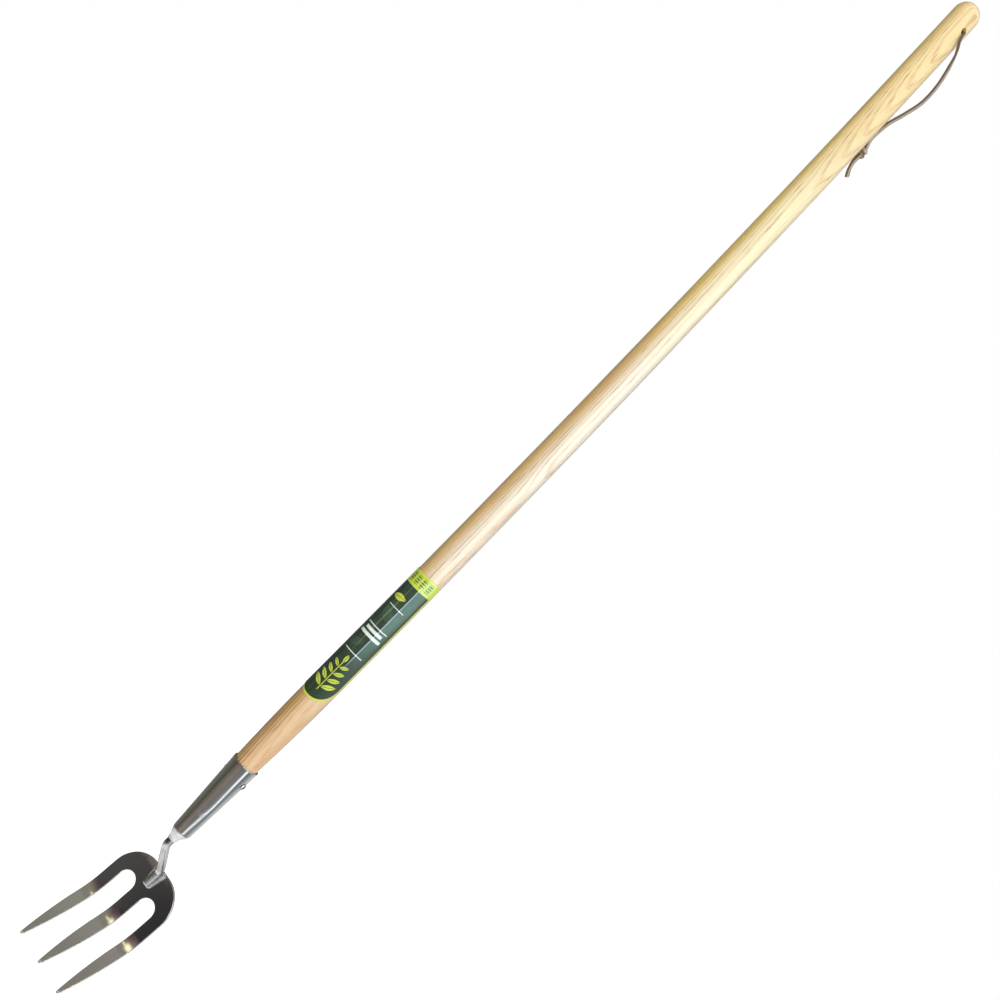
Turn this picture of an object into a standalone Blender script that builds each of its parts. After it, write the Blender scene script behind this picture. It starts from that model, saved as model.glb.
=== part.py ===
"""Long-handled weeding fork: ash shaft, riveted tapered socket, swan neck, three-tine head and hanging thong.

The fork stands head down along Z, in metres. The origin is the centre of the socket's mouth, +Z runs up the
shaft to the butt, and the concave front of the head faces -Y. Run it with
blender --background --python part.py, or from the text editor.
"""

import math

import bmesh
import bpy
from mathutils import Matrix, Vector

MM = 0.001

# Shared fits and fineness
CLEARANCE = 0.3 * MM            # between two pieces that touch
MERGE_DISTANCE = 0.005 * MM
ROUND_STEPS = 48                # facets round the shaft, socket and label
ROD_BEVEL_RESOLUTION = 6        # facets round the neck rod

# Tapered socket, mouth at Z = 0
SOCKET_LENGTH = 87.3 * MM
SOCKET_MOUTH_DIAMETER = 29.0 * MM
SOCKET_END_DIAMETER = 19.6 * MM
SOCKET_WALL = 1.2 * MM
SOCKET_RIM_CHAMFER = 0.25 * MM

# Ash shaft
SHAFT_TOP = 990.5 * MM          # the butt's apex above the socket's mouth
SHAFT_SWELL_DIAMETER = 30.0 * MM
SHAFT_SWELL_HEIGHT = 90.0 * MM  # where the shaft is thickest
SHAFT_BUTT_DIAMETER = 26.8 * MM
SHAFT_BOW = 5.1 * MM            # the ash's natural bow over its length above the socket
SHAFT_SET = 3.0 * MM            # how far the butt ends beyond the socket's axis, on the other side
SHAFT_BOW_TURN = math.radians(26.3)  # the side it bows to, turned from +X about Z
NECK_DOWN_STEPS = 7
TAPER_STEPS = 16
DOME_STEPS = 7
TENON_LENGTH = 74.0 * MM        # how far the wood reaches into the socket

# Rivet through socket and tenon, along X
RIVET_DROP = 16.5 * MM          # below the socket's mouth
RIVET_SHANK_DIAMETER = 3.2 * MM
RIVET_HEAD_DIAMETER = 5.8 * MM
RIVET_HEAD_HEIGHT = 1.9 * MM
RIVET_BACK_HEIGHT = 0.5 * MM    # the peened end, on the side of -X
RIVET_HEAD_STEPS = 5
RIVET_ROUND_STEPS = 24

# Pressed head: lengths are measured along the bent plate, up from the tips
HEAD_LENGTH = 135.4 * MM
HEAD_THICKNESS = 3.0 * MM
HEAD_TOP_SETBACK = 30.7 * MM    # front of the head's top edge behind the shaft's axis
HEAD_TOP_DROP = 139.0 * MM      # the head's top edge below the socket's mouth
NECK_SIDE_LEAN = math.radians(12.9)
TINE_LEAN = math.radians(34.8)
BEND_START = 61.0 * MM
BEND_LENGTH = 25.0 * MM
BEND_CUTS = 7
MIDDLE_TINE_WIDTH = 14.8 * MM
OUTER_TINE_WIDTH = 13.0 * MM
SLOT_WIDTH = 21.0 * MM
SLOT_ROOT = 111.8 * MM
SLOT_ARC_STEPS = 10
SHOULDER_RADIUS = 30.0 * MM
SHOULDER_ARC_STEPS = 8
TINE_POINT_LENGTH = 64.0 * MM
TINE_POINT_STEPS = 7
TINE_TIP_RADIUS = 1.7 * MM
TINE_TIP_STEPS = 4

# Swan-neck rod
ROD_DIAMETER = 8.2 * MM
ROD_INSERT = 5.0 * MM           # the rod's upper end above the socket's small end
KNEE_DROP = 19.1 * MM           # the first bend below the socket's small end
KNEE_FORWARD = 3.8 * MM         # and in front of the shaft's axis
NECK_SWEEP = math.radians(43.0)  # how steeply the rod runs back from that bend
NECK_BEND_RADIUS = 10.0 * MM
NECK_BEND_STEPS = 7
FOOT_LENGTH = 19.4 * MM         # the rod's run down the face of the head
FOOT_GRIND = 0.9 * MM           # how deep its underside is ground flat
FOOT_CHAMFER = 0.7 * MM

# Closing weld under the socket: depth below the socket's end and radius over the rod's
NECK_WELD_STATIONS = (
    (0.0 * MM, 5.5 * MM),
    (1.4 * MM, 5.2 * MM),
    (3.6 * MM, 4.1 * MM),
    (6.2 * MM, 2.6 * MM),
    (9.0 * MM, 1.3 * MM),
    (11.5 * MM, 0.7 * MM),
)

# Weld bead round the rod's foot
HEAD_WELD_RADIUS = 1.35 * MM
HEAD_WELD_TUCK = 0.4 * MM       # the bead's middle within the rod's side
HEAD_WELD_TOE = 0.4 * MM        # and beyond its toe
HEAD_WELD_RISE = 1.0 * MM       # and above the face of the head
HEAD_WELD_TOP_GAP = 1.6 * MM    # below the head's top edge
HEAD_WELD_FLARE = 2.1 * MM      # how much wider it stands at the top
HEAD_WELD_SWELL = 0.9 * MM      # and how much thicker it is there
HEAD_WELD_CORNER = 1.8 * MM
HEAD_WELD_CORNER_STEPS = 5

# Wrap-around label
LABEL_BOTTOM = 88.8 * MM
LABEL_LENGTH = 157.4 * MM
LABEL_WIDTH = 47.2 * MM         # round the shaft
LABEL_TURN = math.radians(1.0)  # its middle, turned from the front towards +X
LABEL_THICKNESS = 0.25 * MM
LABEL_LOWER_CORNER = 23.0 * MM
LABEL_UPPER_CORNER = 3.0 * MM
LABEL_CORNER_STEPS = 8
LABEL_ROWS = 6

# Cross hole and hanging thong
HOLE_DROP = 29.5 * MM           # the hole below the butt's apex
HOLE_DIAMETER = 6.4 * MM
HOLE_TURN = math.radians(-23.0)  # the hole's axis, turned from +X about Z
THONG_DIAMETER = 3.6 * MM
THONG_PATH_PARTS = 2            # points read in each gap of a route
KNOT_CENTRE = Vector((0.0, 24.6, -136.4)) * MM
KNOT_HALF_SIZE = Vector((5.6, 4.3, 6.6)) * MM
KNOT_SEGMENTS = 16
KNOT_RINGS = 10

# The lace's stretches in millimetres from its middle in the hole: X out along the hole, Y away from the
# shaft's back, Z up. The back strand mirrors the front one in X.
STRAND_ROUTE = (
    (12.2, 0.0, 0.0), (13.3, 0.0, 0.0), (14.8, 0.0, -0.4), (15.7, 0.0, -1.6), (16.0, 0.1, -3.4),
    (16.3, 0.3, -6.0), (17.3, 1.1, -9.8), (19.0, 3.0, -14.2), (20.4, 5.3, -19.2), (21.3, 7.5, -24.8),
    (21.9, 9.4, -30.8), (22.3, 11.4, -37.0), (22.5, 13.3, -43.5), (22.5, 15.0, -50.5), (22.3, 16.2, -58.0),
    (21.8, 16.9, -66.0), (20.9, 16.7, -75.0), (18.0, 15.8, -85.4), (14.3, 15.8, -93.2), (10.7, 16.1, -98.8),
    (7.6, 16.6, -104.4), (5.6, 17.2, -111.0), (3.9, 17.9, -117.5), (2.7, 19.1, -123.2), (2.3, 20.9, -127.0),
    (2.2, 22.7, -130.1),
)
RIGHT_TAIL_ROUTE = (
    (2.2, 23.8, -143.0), (2.3, 23.5, -147.5), (2.6, 24.1, -152.0), (3.0, 25.3, -156.0), (3.5, 27.0, -159.5),
    (4.0, 29.3, -162.7),
)
LEFT_TAIL_ROUTE = (
    (-2.2, 26.1, -142.8), (-2.2, 27.2, -146.8), (-1.7, 27.9, -150.3), (-0.8, 28.9, -153.9), (0.0, 30.3, -157.0),
    (0.6, 31.9, -159.3),
)


def material(name, colour, roughness, metallic=0.0):
    """Returns a plain Principled material."""
    made = bpy.data.materials.new(name)
    made.use_nodes = True
    shader = made.node_tree.nodes["Principled BSDF"]
    shader.inputs["Base Color"].default_value = (*colour, 1.0)
    shader.inputs["Roughness"].default_value = roughness
    shader.inputs["Metallic"].default_value = metallic
    return made


def clear_scene():
    """Removes every object, so that the script can be run again."""
    for obj in list(bpy.data.objects):
        bpy.data.objects.remove(obj, do_unlink=True)


def new_collection(name):
    """Returns a new collection linked to the scene."""
    made = bpy.data.collections.new(name)
    bpy.context.scene.collection.children.link(made)
    return made


def mesh_object(name, mesh, collection, finish=None):
    """Links a mesh as a named object and shades it smooth between its sharp edges."""
    obj = bpy.data.objects.new(name, mesh)
    collection.objects.link(obj)
    if finish:
        mesh.materials.append(finish)
    mesh.shade_smooth()
    mesh.set_sharp_from_angle(angle=math.radians(35))
    return obj


def as_cutter(obj):
    """Hides a shape that only cuts others."""
    obj.hide_render = True
    obj.display_type = "WIRE"
    return obj


def cut(obj, cutter):
    """Cuts one object by another with a Boolean modifier."""
    modifier = obj.modifiers.new("cut_" + cutter.name, "BOOLEAN")
    modifier.operation = "DIFFERENCE"
    modifier.object = cutter


def baked(source, collection, finish=None):
    """Turns a curve, or an object with modifiers, into a welded mesh object of the same name."""
    bpy.context.view_layer.update()
    evaluated = source.evaluated_get(bpy.context.evaluated_depsgraph_get())
    mesh = bpy.data.meshes.new_from_object(evaluated)
    name, place = source.name, source.matrix_world.copy()
    bpy.data.objects.remove(source, do_unlink=True)
    mesh.materials.clear()
    bm = bmesh.new()
    bm.from_mesh(mesh)
    bmesh.ops.remove_doubles(bm, verts=bm.verts, dist=MERGE_DISTANCE)
    bm.to_mesh(mesh)
    bm.free()
    obj = mesh_object(name, mesh, collection, finish)
    obj.matrix_world = place
    return obj


def turned(name, profile, steps, collection, finish=None):
    """Turns a profile of (radius, height) points, given from top to bottom, about Z with a Screw modifier."""
    mesh = bpy.data.meshes.new(name)
    edges = [(i, i + 1) for i in range(len(profile) - 1)]
    mesh.from_pydata([(radius, 0.0, height) for radius, height in profile], edges, [])
    obj = bpy.data.objects.new(name, mesh)
    collection.objects.link(obj)
    if finish:
        mesh.materials.append(finish)
    screw = obj.modifiers.new("turn", "SCREW")
    screw.steps = steps
    screw.render_steps = steps
    screw.use_merge_vertices = True
    screw.merge_threshold = MERGE_DISTANCE
    screw.use_smooth_shade = True
    return obj


def tube(name, points, radii, bevel_resolution, collection, finish=None):
    """Makes a capped tube through the points, as a curve whose radius may change from point to point."""
    curve = bpy.data.curves.new(name, "CURVE")
    curve.dimensions = "3D"
    curve.bevel_depth = 1.0
    curve.bevel_resolution = bevel_resolution
    curve.use_fill_caps = True
    curve.render_resolution_u = 0
    spline = curve.splines.new("POLY")
    spline.points.add(len(points) - 1)
    for target, point, radius in zip(spline.points, points, radii):
        target.co = (*point, 1.0)
        target.radius = radius
    if finish:
        curve.materials.append(finish)
    obj = bpy.data.objects.new(name, curve)
    collection.objects.link(obj)
    return obj


def ring_stack(name, stations, segments, collection, finish=None):
    """Makes a capped solid through level rings, each given as (centre, radius), from top to bottom."""
    bm = bmesh.new()
    centre, radius = stations[0]
    ring = bmesh.ops.create_circle(bm, segments=segments, radius=radius)["verts"]
    bmesh.ops.translate(bm, verts=ring, vec=centre)
    edges = bm.edges[:]
    for next_centre, next_radius in stations[1:]:
        geometry = bmesh.ops.extrude_edge_only(bm, edges=edges)["geom"]
        edges = [item for item in geometry if isinstance(item, bmesh.types.BMEdge)]
        ring = [item for item in geometry if isinstance(item, bmesh.types.BMVert)]
        growth = next_radius / radius
        bmesh.ops.scale(bm, verts=ring, vec=(growth, growth, 1.0), space=Matrix.Translation(-centre))
        bmesh.ops.translate(bm, verts=ring, vec=next_centre - centre)
        centre, radius = next_centre, next_radius
    bmesh.ops.holes_fill(bm, edges=bm.edges)
    bmesh.ops.recalc_face_normals(bm, faces=bm.faces)
    mesh = bpy.data.meshes.new(name)
    bm.to_mesh(mesh)
    bm.free()
    return mesh_object(name, mesh, collection, finish)


def arc(centre, radius, start, end, steps):
    """Returns steps + 1 points of a flat arc, with angles in degrees."""
    angles = [math.radians(start + (end - start) * i / steps) for i in range(steps + 1)]
    return [(centre[0] + radius * math.cos(a), centre[1] + radius * math.sin(a)) for a in angles]


def plate(name, outline, thickness, collection):
    """Makes a flat solid with its outline in X and Y and its front face on Z = 0, thickness below it."""
    curve = bpy.data.curves.new(name, "CURVE")
    curve.dimensions = "2D"
    curve.fill_mode = "BOTH"
    curve.extrude = thickness / 2
    spline = curve.splines.new("POLY")
    spline.points.add(len(outline) - 1)
    for target, point in zip(spline.points, outline):
        target.co = (*point, 0.0, 1.0)
    spline.use_cyclic_u = True
    obj = bpy.data.objects.new(name, curve)
    collection.objects.link(obj)
    obj.location = (0.0, 0.0, -thickness / 2)
    return obj


def reshape(obj, cuts, place):
    """Cuts a flat solid across at each (point, normal), then moves its vertices with place(x, y, depth)."""
    bm = bmesh.new()
    bm.from_mesh(obj.data)
    bm.transform(obj.matrix_world)
    for point, normal in cuts:
        geometry = bm.verts[:] + bm.edges[:] + bm.faces[:]
        bmesh.ops.bisect_plane(bm, geom=geometry, dist=MERGE_DISTANCE, plane_co=point, plane_no=normal)
    for vert in bm.verts:
        vert.co = place(vert.co.x, vert.co.y, -vert.co.z)
    bmesh.ops.recalc_face_normals(bm, faces=bm.faces)
    bm.to_mesh(obj.data)
    bm.free()
    obj.matrix_world = Matrix.Identity(4)
    obj.data.set_sharp_from_angle(angle=math.radians(35))


def rounded_path(corners, radius, steps):
    """Rounds each inner corner of a path of straight runs with an arc of the given radius."""
    points = [corners[0]]
    for before, corner, after in zip(corners, corners[1:], corners[2:]):
        into, out = (corner - before).normalized(), (after - corner).normalized()
        turn = into.angle(out)
        reach = radius * math.tan(turn / 2)
        start = corner - into * reach
        inward = (out - into * into.dot(out)).normalized()
        for i in range(steps + 1):
            angle = turn * i / steps
            points.append(start + into * radius * math.sin(angle) + inward * radius * (1 - math.cos(angle)))
    points.append(corners[-1])
    return points


def smooth_path(route, parts):
    """Reads points from a Catmull-Rom curve through the route, each of its gaps split into equal parts."""
    stops = [route[0] * 2 - route[1], *route, route[-1] * 2 - route[-2]]
    points = []
    for a, b, c, d in zip(stops, stops[1:], stops[2:], stops[3:]):
        for i in range(parts):
            t = i / parts
            points.append((b * 2 + (c - a) * t + (a * 2 - b * 5 + c * 4 - d) * t ** 2
                           + (b * 3 - a - c * 3 + d) * t ** 3) / 2)
    return [*points, route[-1]]


def socket_radius(height):
    """Outer radius of the socket at a height below its mouth."""
    share = -height / SOCKET_LENGTH
    return (SOCKET_MOUTH_DIAMETER + (SOCKET_END_DIAMETER - SOCKET_MOUTH_DIAMETER) * share) / 2


def shaft_radius(height):
    """Radius of the ash at a height: a tenon in the socket, a swell above it and a long taper to the butt."""
    tenon = socket_radius(min(height, 0.0)) - SOCKET_WALL - CLEARANCE
    if height <= 0.0:
        return tenon
    swell = SHAFT_SWELL_DIAMETER / 2
    if height < SHAFT_SWELL_HEIGHT:
        return tenon + (swell - tenon) * math.sin(math.pi / 2 * height / SHAFT_SWELL_HEIGHT)
    butt = SHAFT_BUTT_DIAMETER / 2
    share = (height - SHAFT_SWELL_HEIGHT) / (SHAFT_TOP - butt - SHAFT_SWELL_HEIGHT)
    return swell + (butt - swell) * share


def shaft_middle(height):
    """Middle of the bowed shaft at a height."""
    share = max(height, 0.0) / SHAFT_TOP
    offset = 4 * SHAFT_BOW * share * (1 - share) - SHAFT_SET * share
    return Vector((offset * math.cos(SHAFT_BOW_TURN), offset * math.sin(SHAFT_BOW_TURN), height))


def make_shaft(collection, finish):
    """Turns the ash shaft (domed butt, long taper, swell, neck-down and tenon) and bows it."""
    butt = SHAFT_BUTT_DIAMETER / 2
    profile = arc((0.0, SHAFT_TOP - butt), butt, 90, 0, DOME_STEPS)
    profile[0] = (0.0, SHAFT_TOP)
    taper = SHAFT_TOP - butt - SHAFT_SWELL_HEIGHT
    heights = [SHAFT_SWELL_HEIGHT + taper * (1 - i / TAPER_STEPS) for i in range(1, TAPER_STEPS)]
    heights += [SHAFT_SWELL_HEIGHT * (1 - i / NECK_DOWN_STEPS) for i in range(NECK_DOWN_STEPS + 1)]
    profile += [(shaft_radius(height), height) for height in (*heights, -TENON_LENGTH)]
    profile.append((0.0, -TENON_LENGTH))
    shaft = baked(turned("handle_shaft", profile, ROUND_STEPS, collection), collection, finish)
    reshape(shaft, (), lambda x, y, depth: Vector((x, y, 0.0)) + shaft_middle(-depth))
    return shaft


def make_socket(collection, finish):
    """Turns the socket: a tapered tube with a small chamfer on its rim."""
    top, end = socket_radius(0.0), socket_radius(-SOCKET_LENGTH)
    profile = [
        (top - SOCKET_RIM_CHAMFER, 0.0),
        (top, -SOCKET_RIM_CHAMFER),
        (end, -SOCKET_LENGTH),
        (end - SOCKET_WALL, -SOCKET_LENGTH),
        (top - SOCKET_WALL, 0.0),
        (top - SOCKET_RIM_CHAMFER, 0.0),
    ]
    return turned("socket", profile, ROUND_STEPS, collection, finish)


def make_rivet(collection, finish):
    """Turns the rivet, with a domed head and a low peened end, and lays it along X."""
    radius, shank = RIVET_HEAD_DIAMETER / 2, RIVET_SHANK_DIAMETER / 2
    slope = (SOCKET_MOUTH_DIAMETER - SOCKET_END_DIAMETER) / 2 / SOCKET_LENGTH
    seat = socket_radius(-RIVET_DROP) + radius * slope + CLEARANCE
    angles = [math.pi / 2 * i / RIVET_HEAD_STEPS for i in range(RIVET_HEAD_STEPS + 1)]
    front, back = ([(radius * math.sin(a), seat + height * math.cos(a)) for a in angles] + [(shank, seat)]
                   for height in (RIVET_HEAD_HEIGHT, RIVET_BACK_HEIGHT))
    profile = front + [(r, -height) for r, height in reversed(back)]
    rivet = turned("socket_rivet", profile, RIVET_ROUND_STEPS, collection, finish)
    rivet.location = (0.0, 0.0, -RIVET_DROP)
    rivet.rotation_euler = (0.0, math.pi / 2, 0.0)
    return rivet


def cross_cylinder(name, diameter, height, turn, collection):
    """Makes a cutter: a cylinder through the shaft's middle at a height, its axis turned about Z from +X."""
    reach = 2 * SHAFT_SWELL_DIAMETER
    mesh = bpy.data.meshes.new(name)
    bm = bmesh.new()
    bmesh.ops.create_cone(bm, cap_ends=True, segments=RIVET_ROUND_STEPS, radius1=diameter / 2,
                          radius2=diameter / 2, depth=reach)
    bm.to_mesh(mesh)
    bm.free()
    cutter = as_cutter(mesh_object(name, mesh, collection))
    cutter.rotation_euler = (0.0, math.pi / 2, turn)
    cutter.location = shaft_middle(height)
    return cutter


def head_front(distance):
    """Returns the front of the plate in the middle plane as (y, z), and its lean, below the top edge."""
    straight = HEAD_LENGTH - BEND_START - BEND_LENGTH
    y, z = HEAD_TOP_SETBACK, -HEAD_TOP_DROP
    first = min(distance, straight)
    y -= first * math.sin(NECK_SIDE_LEAN)
    z -= first * math.cos(NECK_SIDE_LEAN)
    bent = min(max(distance - straight, 0.0), BEND_LENGTH)
    lean = NECK_SIDE_LEAN + (TINE_LEAN - NECK_SIDE_LEAN) * bent / BEND_LENGTH
    radius = BEND_LENGTH / (TINE_LEAN - NECK_SIDE_LEAN)
    y -= radius * (math.cos(NECK_SIDE_LEAN) - math.cos(lean))
    z -= radius * (math.sin(lean) - math.sin(NECK_SIDE_LEAN))
    last = max(distance - straight - BEND_LENGTH, 0.0)
    return y - last * math.sin(lean), z - last * math.cos(lean), lean


def head_point(across, up, depth):
    """Maps a point of the flat plate (across, up from the tips, depth behind its front) to its bent place."""
    y, z, lean = head_front(HEAD_LENGTH - up)
    return Vector((across, y + depth * math.cos(lean), z - depth * math.sin(lean)))


def tine_side(middle, half_width, side):
    """Returns one edge of a tine from its full width down to its tip's arc."""
    drop, run = half_width - TINE_TIP_RADIUS, TINE_POINT_LENGTH - TINE_TIP_RADIUS
    radius = (run ** 2 + drop ** 2) / (2 * drop)
    points = []
    for i in range(TINE_POINT_STEPS + 1):
        along = run * i / TINE_POINT_STEPS
        half = half_width - (radius - math.sqrt(radius ** 2 - along ** 2))
        points.append((middle + side * half, TINE_POINT_LENGTH - along))
    return points


def head_outline():
    """Returns the plate's flat outline: shoulders, three tines and the two slots between them."""
    inner = MIDDLE_TINE_WIDTH / 2
    outer = inner + SLOT_WIDTH
    edge = outer + OUTER_TINE_WIDTH
    tine = (outer + edge) / 2
    slot = SLOT_WIDTH / 2
    half = arc((edge - SHOULDER_RADIUS, HEAD_LENGTH - SHOULDER_RADIUS), SHOULDER_RADIUS, 90, 0,
               SHOULDER_ARC_STEPS)
    half += tine_side(tine, OUTER_TINE_WIDTH / 2, 1)
    half += arc((tine, TINE_TIP_RADIUS), TINE_TIP_RADIUS, 0, -180, TINE_TIP_STEPS)[1:-1]
    half += reversed(tine_side(tine, OUTER_TINE_WIDTH / 2, -1))
    half += arc((inner + slot, SLOT_ROOT - slot), slot, 0, 180, SLOT_ARC_STEPS)
    half += tine_side(0.0, inner, 1)
    half += arc((0.0, TINE_TIP_RADIUS), TINE_TIP_RADIUS, 0, -90, TINE_TIP_STEPS // 2)[1:]
    return half + [(-x, y) for x, y in reversed(half[:-1])]


def make_head(collection, finish):
    """Presses the head: the flat plate is cut across its bend and bent forward."""
    flat = plate("fork_head", head_outline(), HEAD_THICKNESS, collection)
    head = baked(flat, collection, finish)
    cuts = [((0.0, BEND_START + BEND_LENGTH * i / (BEND_CUTS - 1), 0.0), (0.0, 1.0, 0.0))
            for i in range(BEND_CUTS)]
    reshape(head, cuts, head_point)
    return head


def foot_point(up):
    """Returns the rod's middle where its foot lies on the head's face."""
    height = ROD_DIAMETER / 2 - FOOT_GRIND + CLEARANCE
    return head_point(0.0, up, -height)


def rod_corners():
    """Returns the corners of the rod's path: its upper end, knee, heel and toe."""
    start = Vector((0.0, 0.0, ROD_INSERT - SOCKET_LENGTH))
    knee = Vector((0.0, -KNEE_FORWARD, -SOCKET_LENGTH - KNEE_DROP))
    sweep = Vector((0.0, math.sin(NECK_SWEEP), -math.cos(NECK_SWEEP)))
    toe = foot_point(HEAD_LENGTH - FOOT_LENGTH)
    foot = (toe - foot_point(HEAD_LENGTH)).normalized()
    gap = toe - knee
    run = (gap.y * foot.z - gap.z * foot.y) / (sweep.y * foot.z - sweep.z * foot.y)
    return [start, knee, knee + sweep * run, toe]


def rod_tube(name, extra, overrun, collection, finish=None):
    """Makes the neck rod's tube, or a fatter and longer one that cuts its seat in what touches it."""
    corners = rod_corners()
    into = (corners[0] - corners[1]).normalized()
    along = (corners[-1] - corners[-2]).normalized()
    corners[0] = corners[0] + into * overrun
    corners[-1] = corners[-1] + along * overrun
    points = rounded_path(corners, NECK_BEND_RADIUS, NECK_BEND_STEPS)
    radius = ROD_DIAMETER / 2 + extra
    radii = [radius] * len(points)
    if overrun == 0.0:
        points.insert(-1, points[-1] - along * FOOT_CHAMFER)
        radii.insert(-1, radius)
        radii[-1] = radius - FOOT_CHAMFER
    return baked(tube(name, points, radii, ROD_BEVEL_RESOLUTION, collection), collection, finish)


def face_slab(collection):
    """Makes a cutter that takes away what lies lower than a clearance over the head's upper face."""
    size = HEAD_LENGTH - BEND_START - BEND_LENGTH
    mesh = bpy.data.meshes.new("face_slab")
    bm = bmesh.new()
    bmesh.ops.create_cube(bm, size=1.0)
    bmesh.ops.scale(bm, verts=bm.verts, vec=(SOCKET_MOUTH_DIAMETER, ROD_DIAMETER, size * 2))
    bmesh.ops.translate(bm, verts=bm.verts, vec=(0.0, ROD_DIAMETER / 2 - CLEARANCE, 0.0))
    bm.to_mesh(mesh)
    bm.free()
    slab = as_cutter(mesh_object("face_slab", mesh, collection))
    slab.location = head_point(0.0, HEAD_LENGTH - size / 2, 0.0)
    slab.rotation_euler = (-NECK_SIDE_LEAN, 0.0, 0.0)
    return slab


def make_neck_weld(collection, finish):
    """Makes the closing cone between the socket's small end and the rod."""
    start, knee = rod_corners()[:2]
    stations = []
    for depth, spare in NECK_WELD_STATIONS:
        height = -SOCKET_LENGTH - CLEARANCE - depth
        lean = (start.z - height) / (start.z - knee.z) * min(1.0, depth / ROD_INSERT)
        stations.append((Vector((0.0, knee.y * lean, height)), ROD_DIAMETER / 2 + spare))
    return ring_stack("neck_weld", stations, 4 + 4 * ROD_BEVEL_RESOLUTION, collection, finish)


def make_head_weld(collection, finish):
    """Lays the weld bead round the sides and toe of the rod's foot."""
    side = ROD_DIAMETER / 2 - HEAD_WELD_TUCK
    flare = side + HEAD_WELD_FLARE
    top = HEAD_LENGTH - HEAD_WELD_TOP_GAP
    toe = HEAD_LENGTH - FOOT_LENGTH - HEAD_WELD_TOE
    corners = [head_point(x, up, -HEAD_WELD_RISE) for x, up in
               ((flare, top), (side, toe), (-side, toe), (-flare, top))]
    points = rounded_path(corners, HEAD_WELD_CORNER, HEAD_WELD_CORNER_STEPS)
    low, high = corners[1].z, corners[0].z
    radii = [HEAD_WELD_RADIUS + HEAD_WELD_SWELL * (point.z - low) / (high - low) for point in points]
    bead = tube("head_weld", points, radii, 3, collection)
    return baked(bead, collection, finish)


def label_outline():
    """Returns the label's flat outline: round the shaft in X, up the shaft in Y."""
    half, low, high = LABEL_WIDTH / 2, LABEL_LOWER_CORNER, LABEL_UPPER_CORNER
    right = arc((half - low, low), low, -90, 0, LABEL_CORNER_STEPS)
    right += arc((half - high, LABEL_LENGTH - high), high, 0, 90, LABEL_CORNER_STEPS // 2)
    return right + [(-x, y) for x, y in reversed(right)]


def label_point(around, up, depth):
    """Wraps a point of the flat label round the shaft."""
    height = LABEL_BOTTOM + up
    angle = LABEL_TURN + around / (SHAFT_SWELL_DIAMETER / 2)
    radius = shaft_radius(height) + CLEARANCE + LABEL_THICKNESS - depth
    return shaft_middle(height) + Vector((radius * math.sin(angle), -radius * math.cos(angle), 0.0))


def make_label(collection, finish):
    """Cuts the flat label into strips and wraps it round the shaft."""
    label = baked(plate("wrap_label", label_outline(), LABEL_THICKNESS, collection), collection, finish)
    strip = math.pi * SHAFT_SWELL_DIAMETER / ROUND_STEPS
    strips = int(LABEL_WIDTH / 2 / strip)
    cuts = [((i * strip, 0.0, 0.0), (1.0, 0.0, 0.0)) for i in range(-strips, strips + 1)]
    cuts += [((0.0, LABEL_LENGTH * i / LABEL_ROWS, 0.0), (0.0, 1.0, 0.0)) for i in range(1, LABEL_ROWS)]
    reshape(label, cuts, label_point)
    return label


def thong_tube(name, route, side, pivot, collection, finish):
    """Makes one stretch of the lace through its route, on one side of the loop's middle plane."""
    stops = [Vector((side * x, y, z)) * MM for x, y, z in route]
    points = smooth_path(stops, THONG_PATH_PARTS)
    stretch = tube(name, points, [THONG_DIAMETER / 2] * len(points), 2, collection, finish)
    stretch.parent = pivot
    return stretch


def make_thong(collection, finish):
    """Makes the hanging thong: the lace in the hole, two strands, their knot and two tails."""
    pivot = bpy.data.objects.new("thong_pivot", None)
    collection.objects.link(pivot)
    sag = (HOLE_DIAMETER - THONG_DIAMETER) / 2 - CLEARANCE
    pivot.location = shaft_middle(SHAFT_TOP - HOLE_DROP) - Vector((0.0, 0.0, sag))
    pivot.rotation_euler = (0.0, 0.0, HOLE_TURN)
    reach = STRAND_ROUTE[0][0] - CLEARANCE / MM
    in_hole = ((-reach, 0.0, 0.0), (0.0, 0.0, 0.0), (reach, 0.0, 0.0))
    thong_tube("thong_hole_run", in_hole, 1, pivot, collection, finish)
    thong_tube("thong_front_strand", STRAND_ROUTE, 1, pivot, collection, finish)
    thong_tube("thong_back_strand", STRAND_ROUTE, -1, pivot, collection, finish)
    thong_tube("thong_tail_right", RIGHT_TAIL_ROUTE, 1, pivot, collection, finish)
    thong_tube("thong_tail_left", LEFT_TAIL_ROUTE, 1, pivot, collection, finish)

    mesh = bpy.data.meshes.new("thong_knot")
    bm = bmesh.new()
    bmesh.ops.create_uvsphere(bm, u_segments=KNOT_SEGMENTS, v_segments=KNOT_RINGS, radius=1.0)
    bmesh.ops.scale(bm, verts=bm.verts, vec=KNOT_HALF_SIZE)
    bm.to_mesh(mesh)
    bm.free()
    knot = mesh_object("thong_knot", mesh, collection, finish)
    knot.parent = pivot
    knot.location = KNOT_CENTRE


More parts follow.
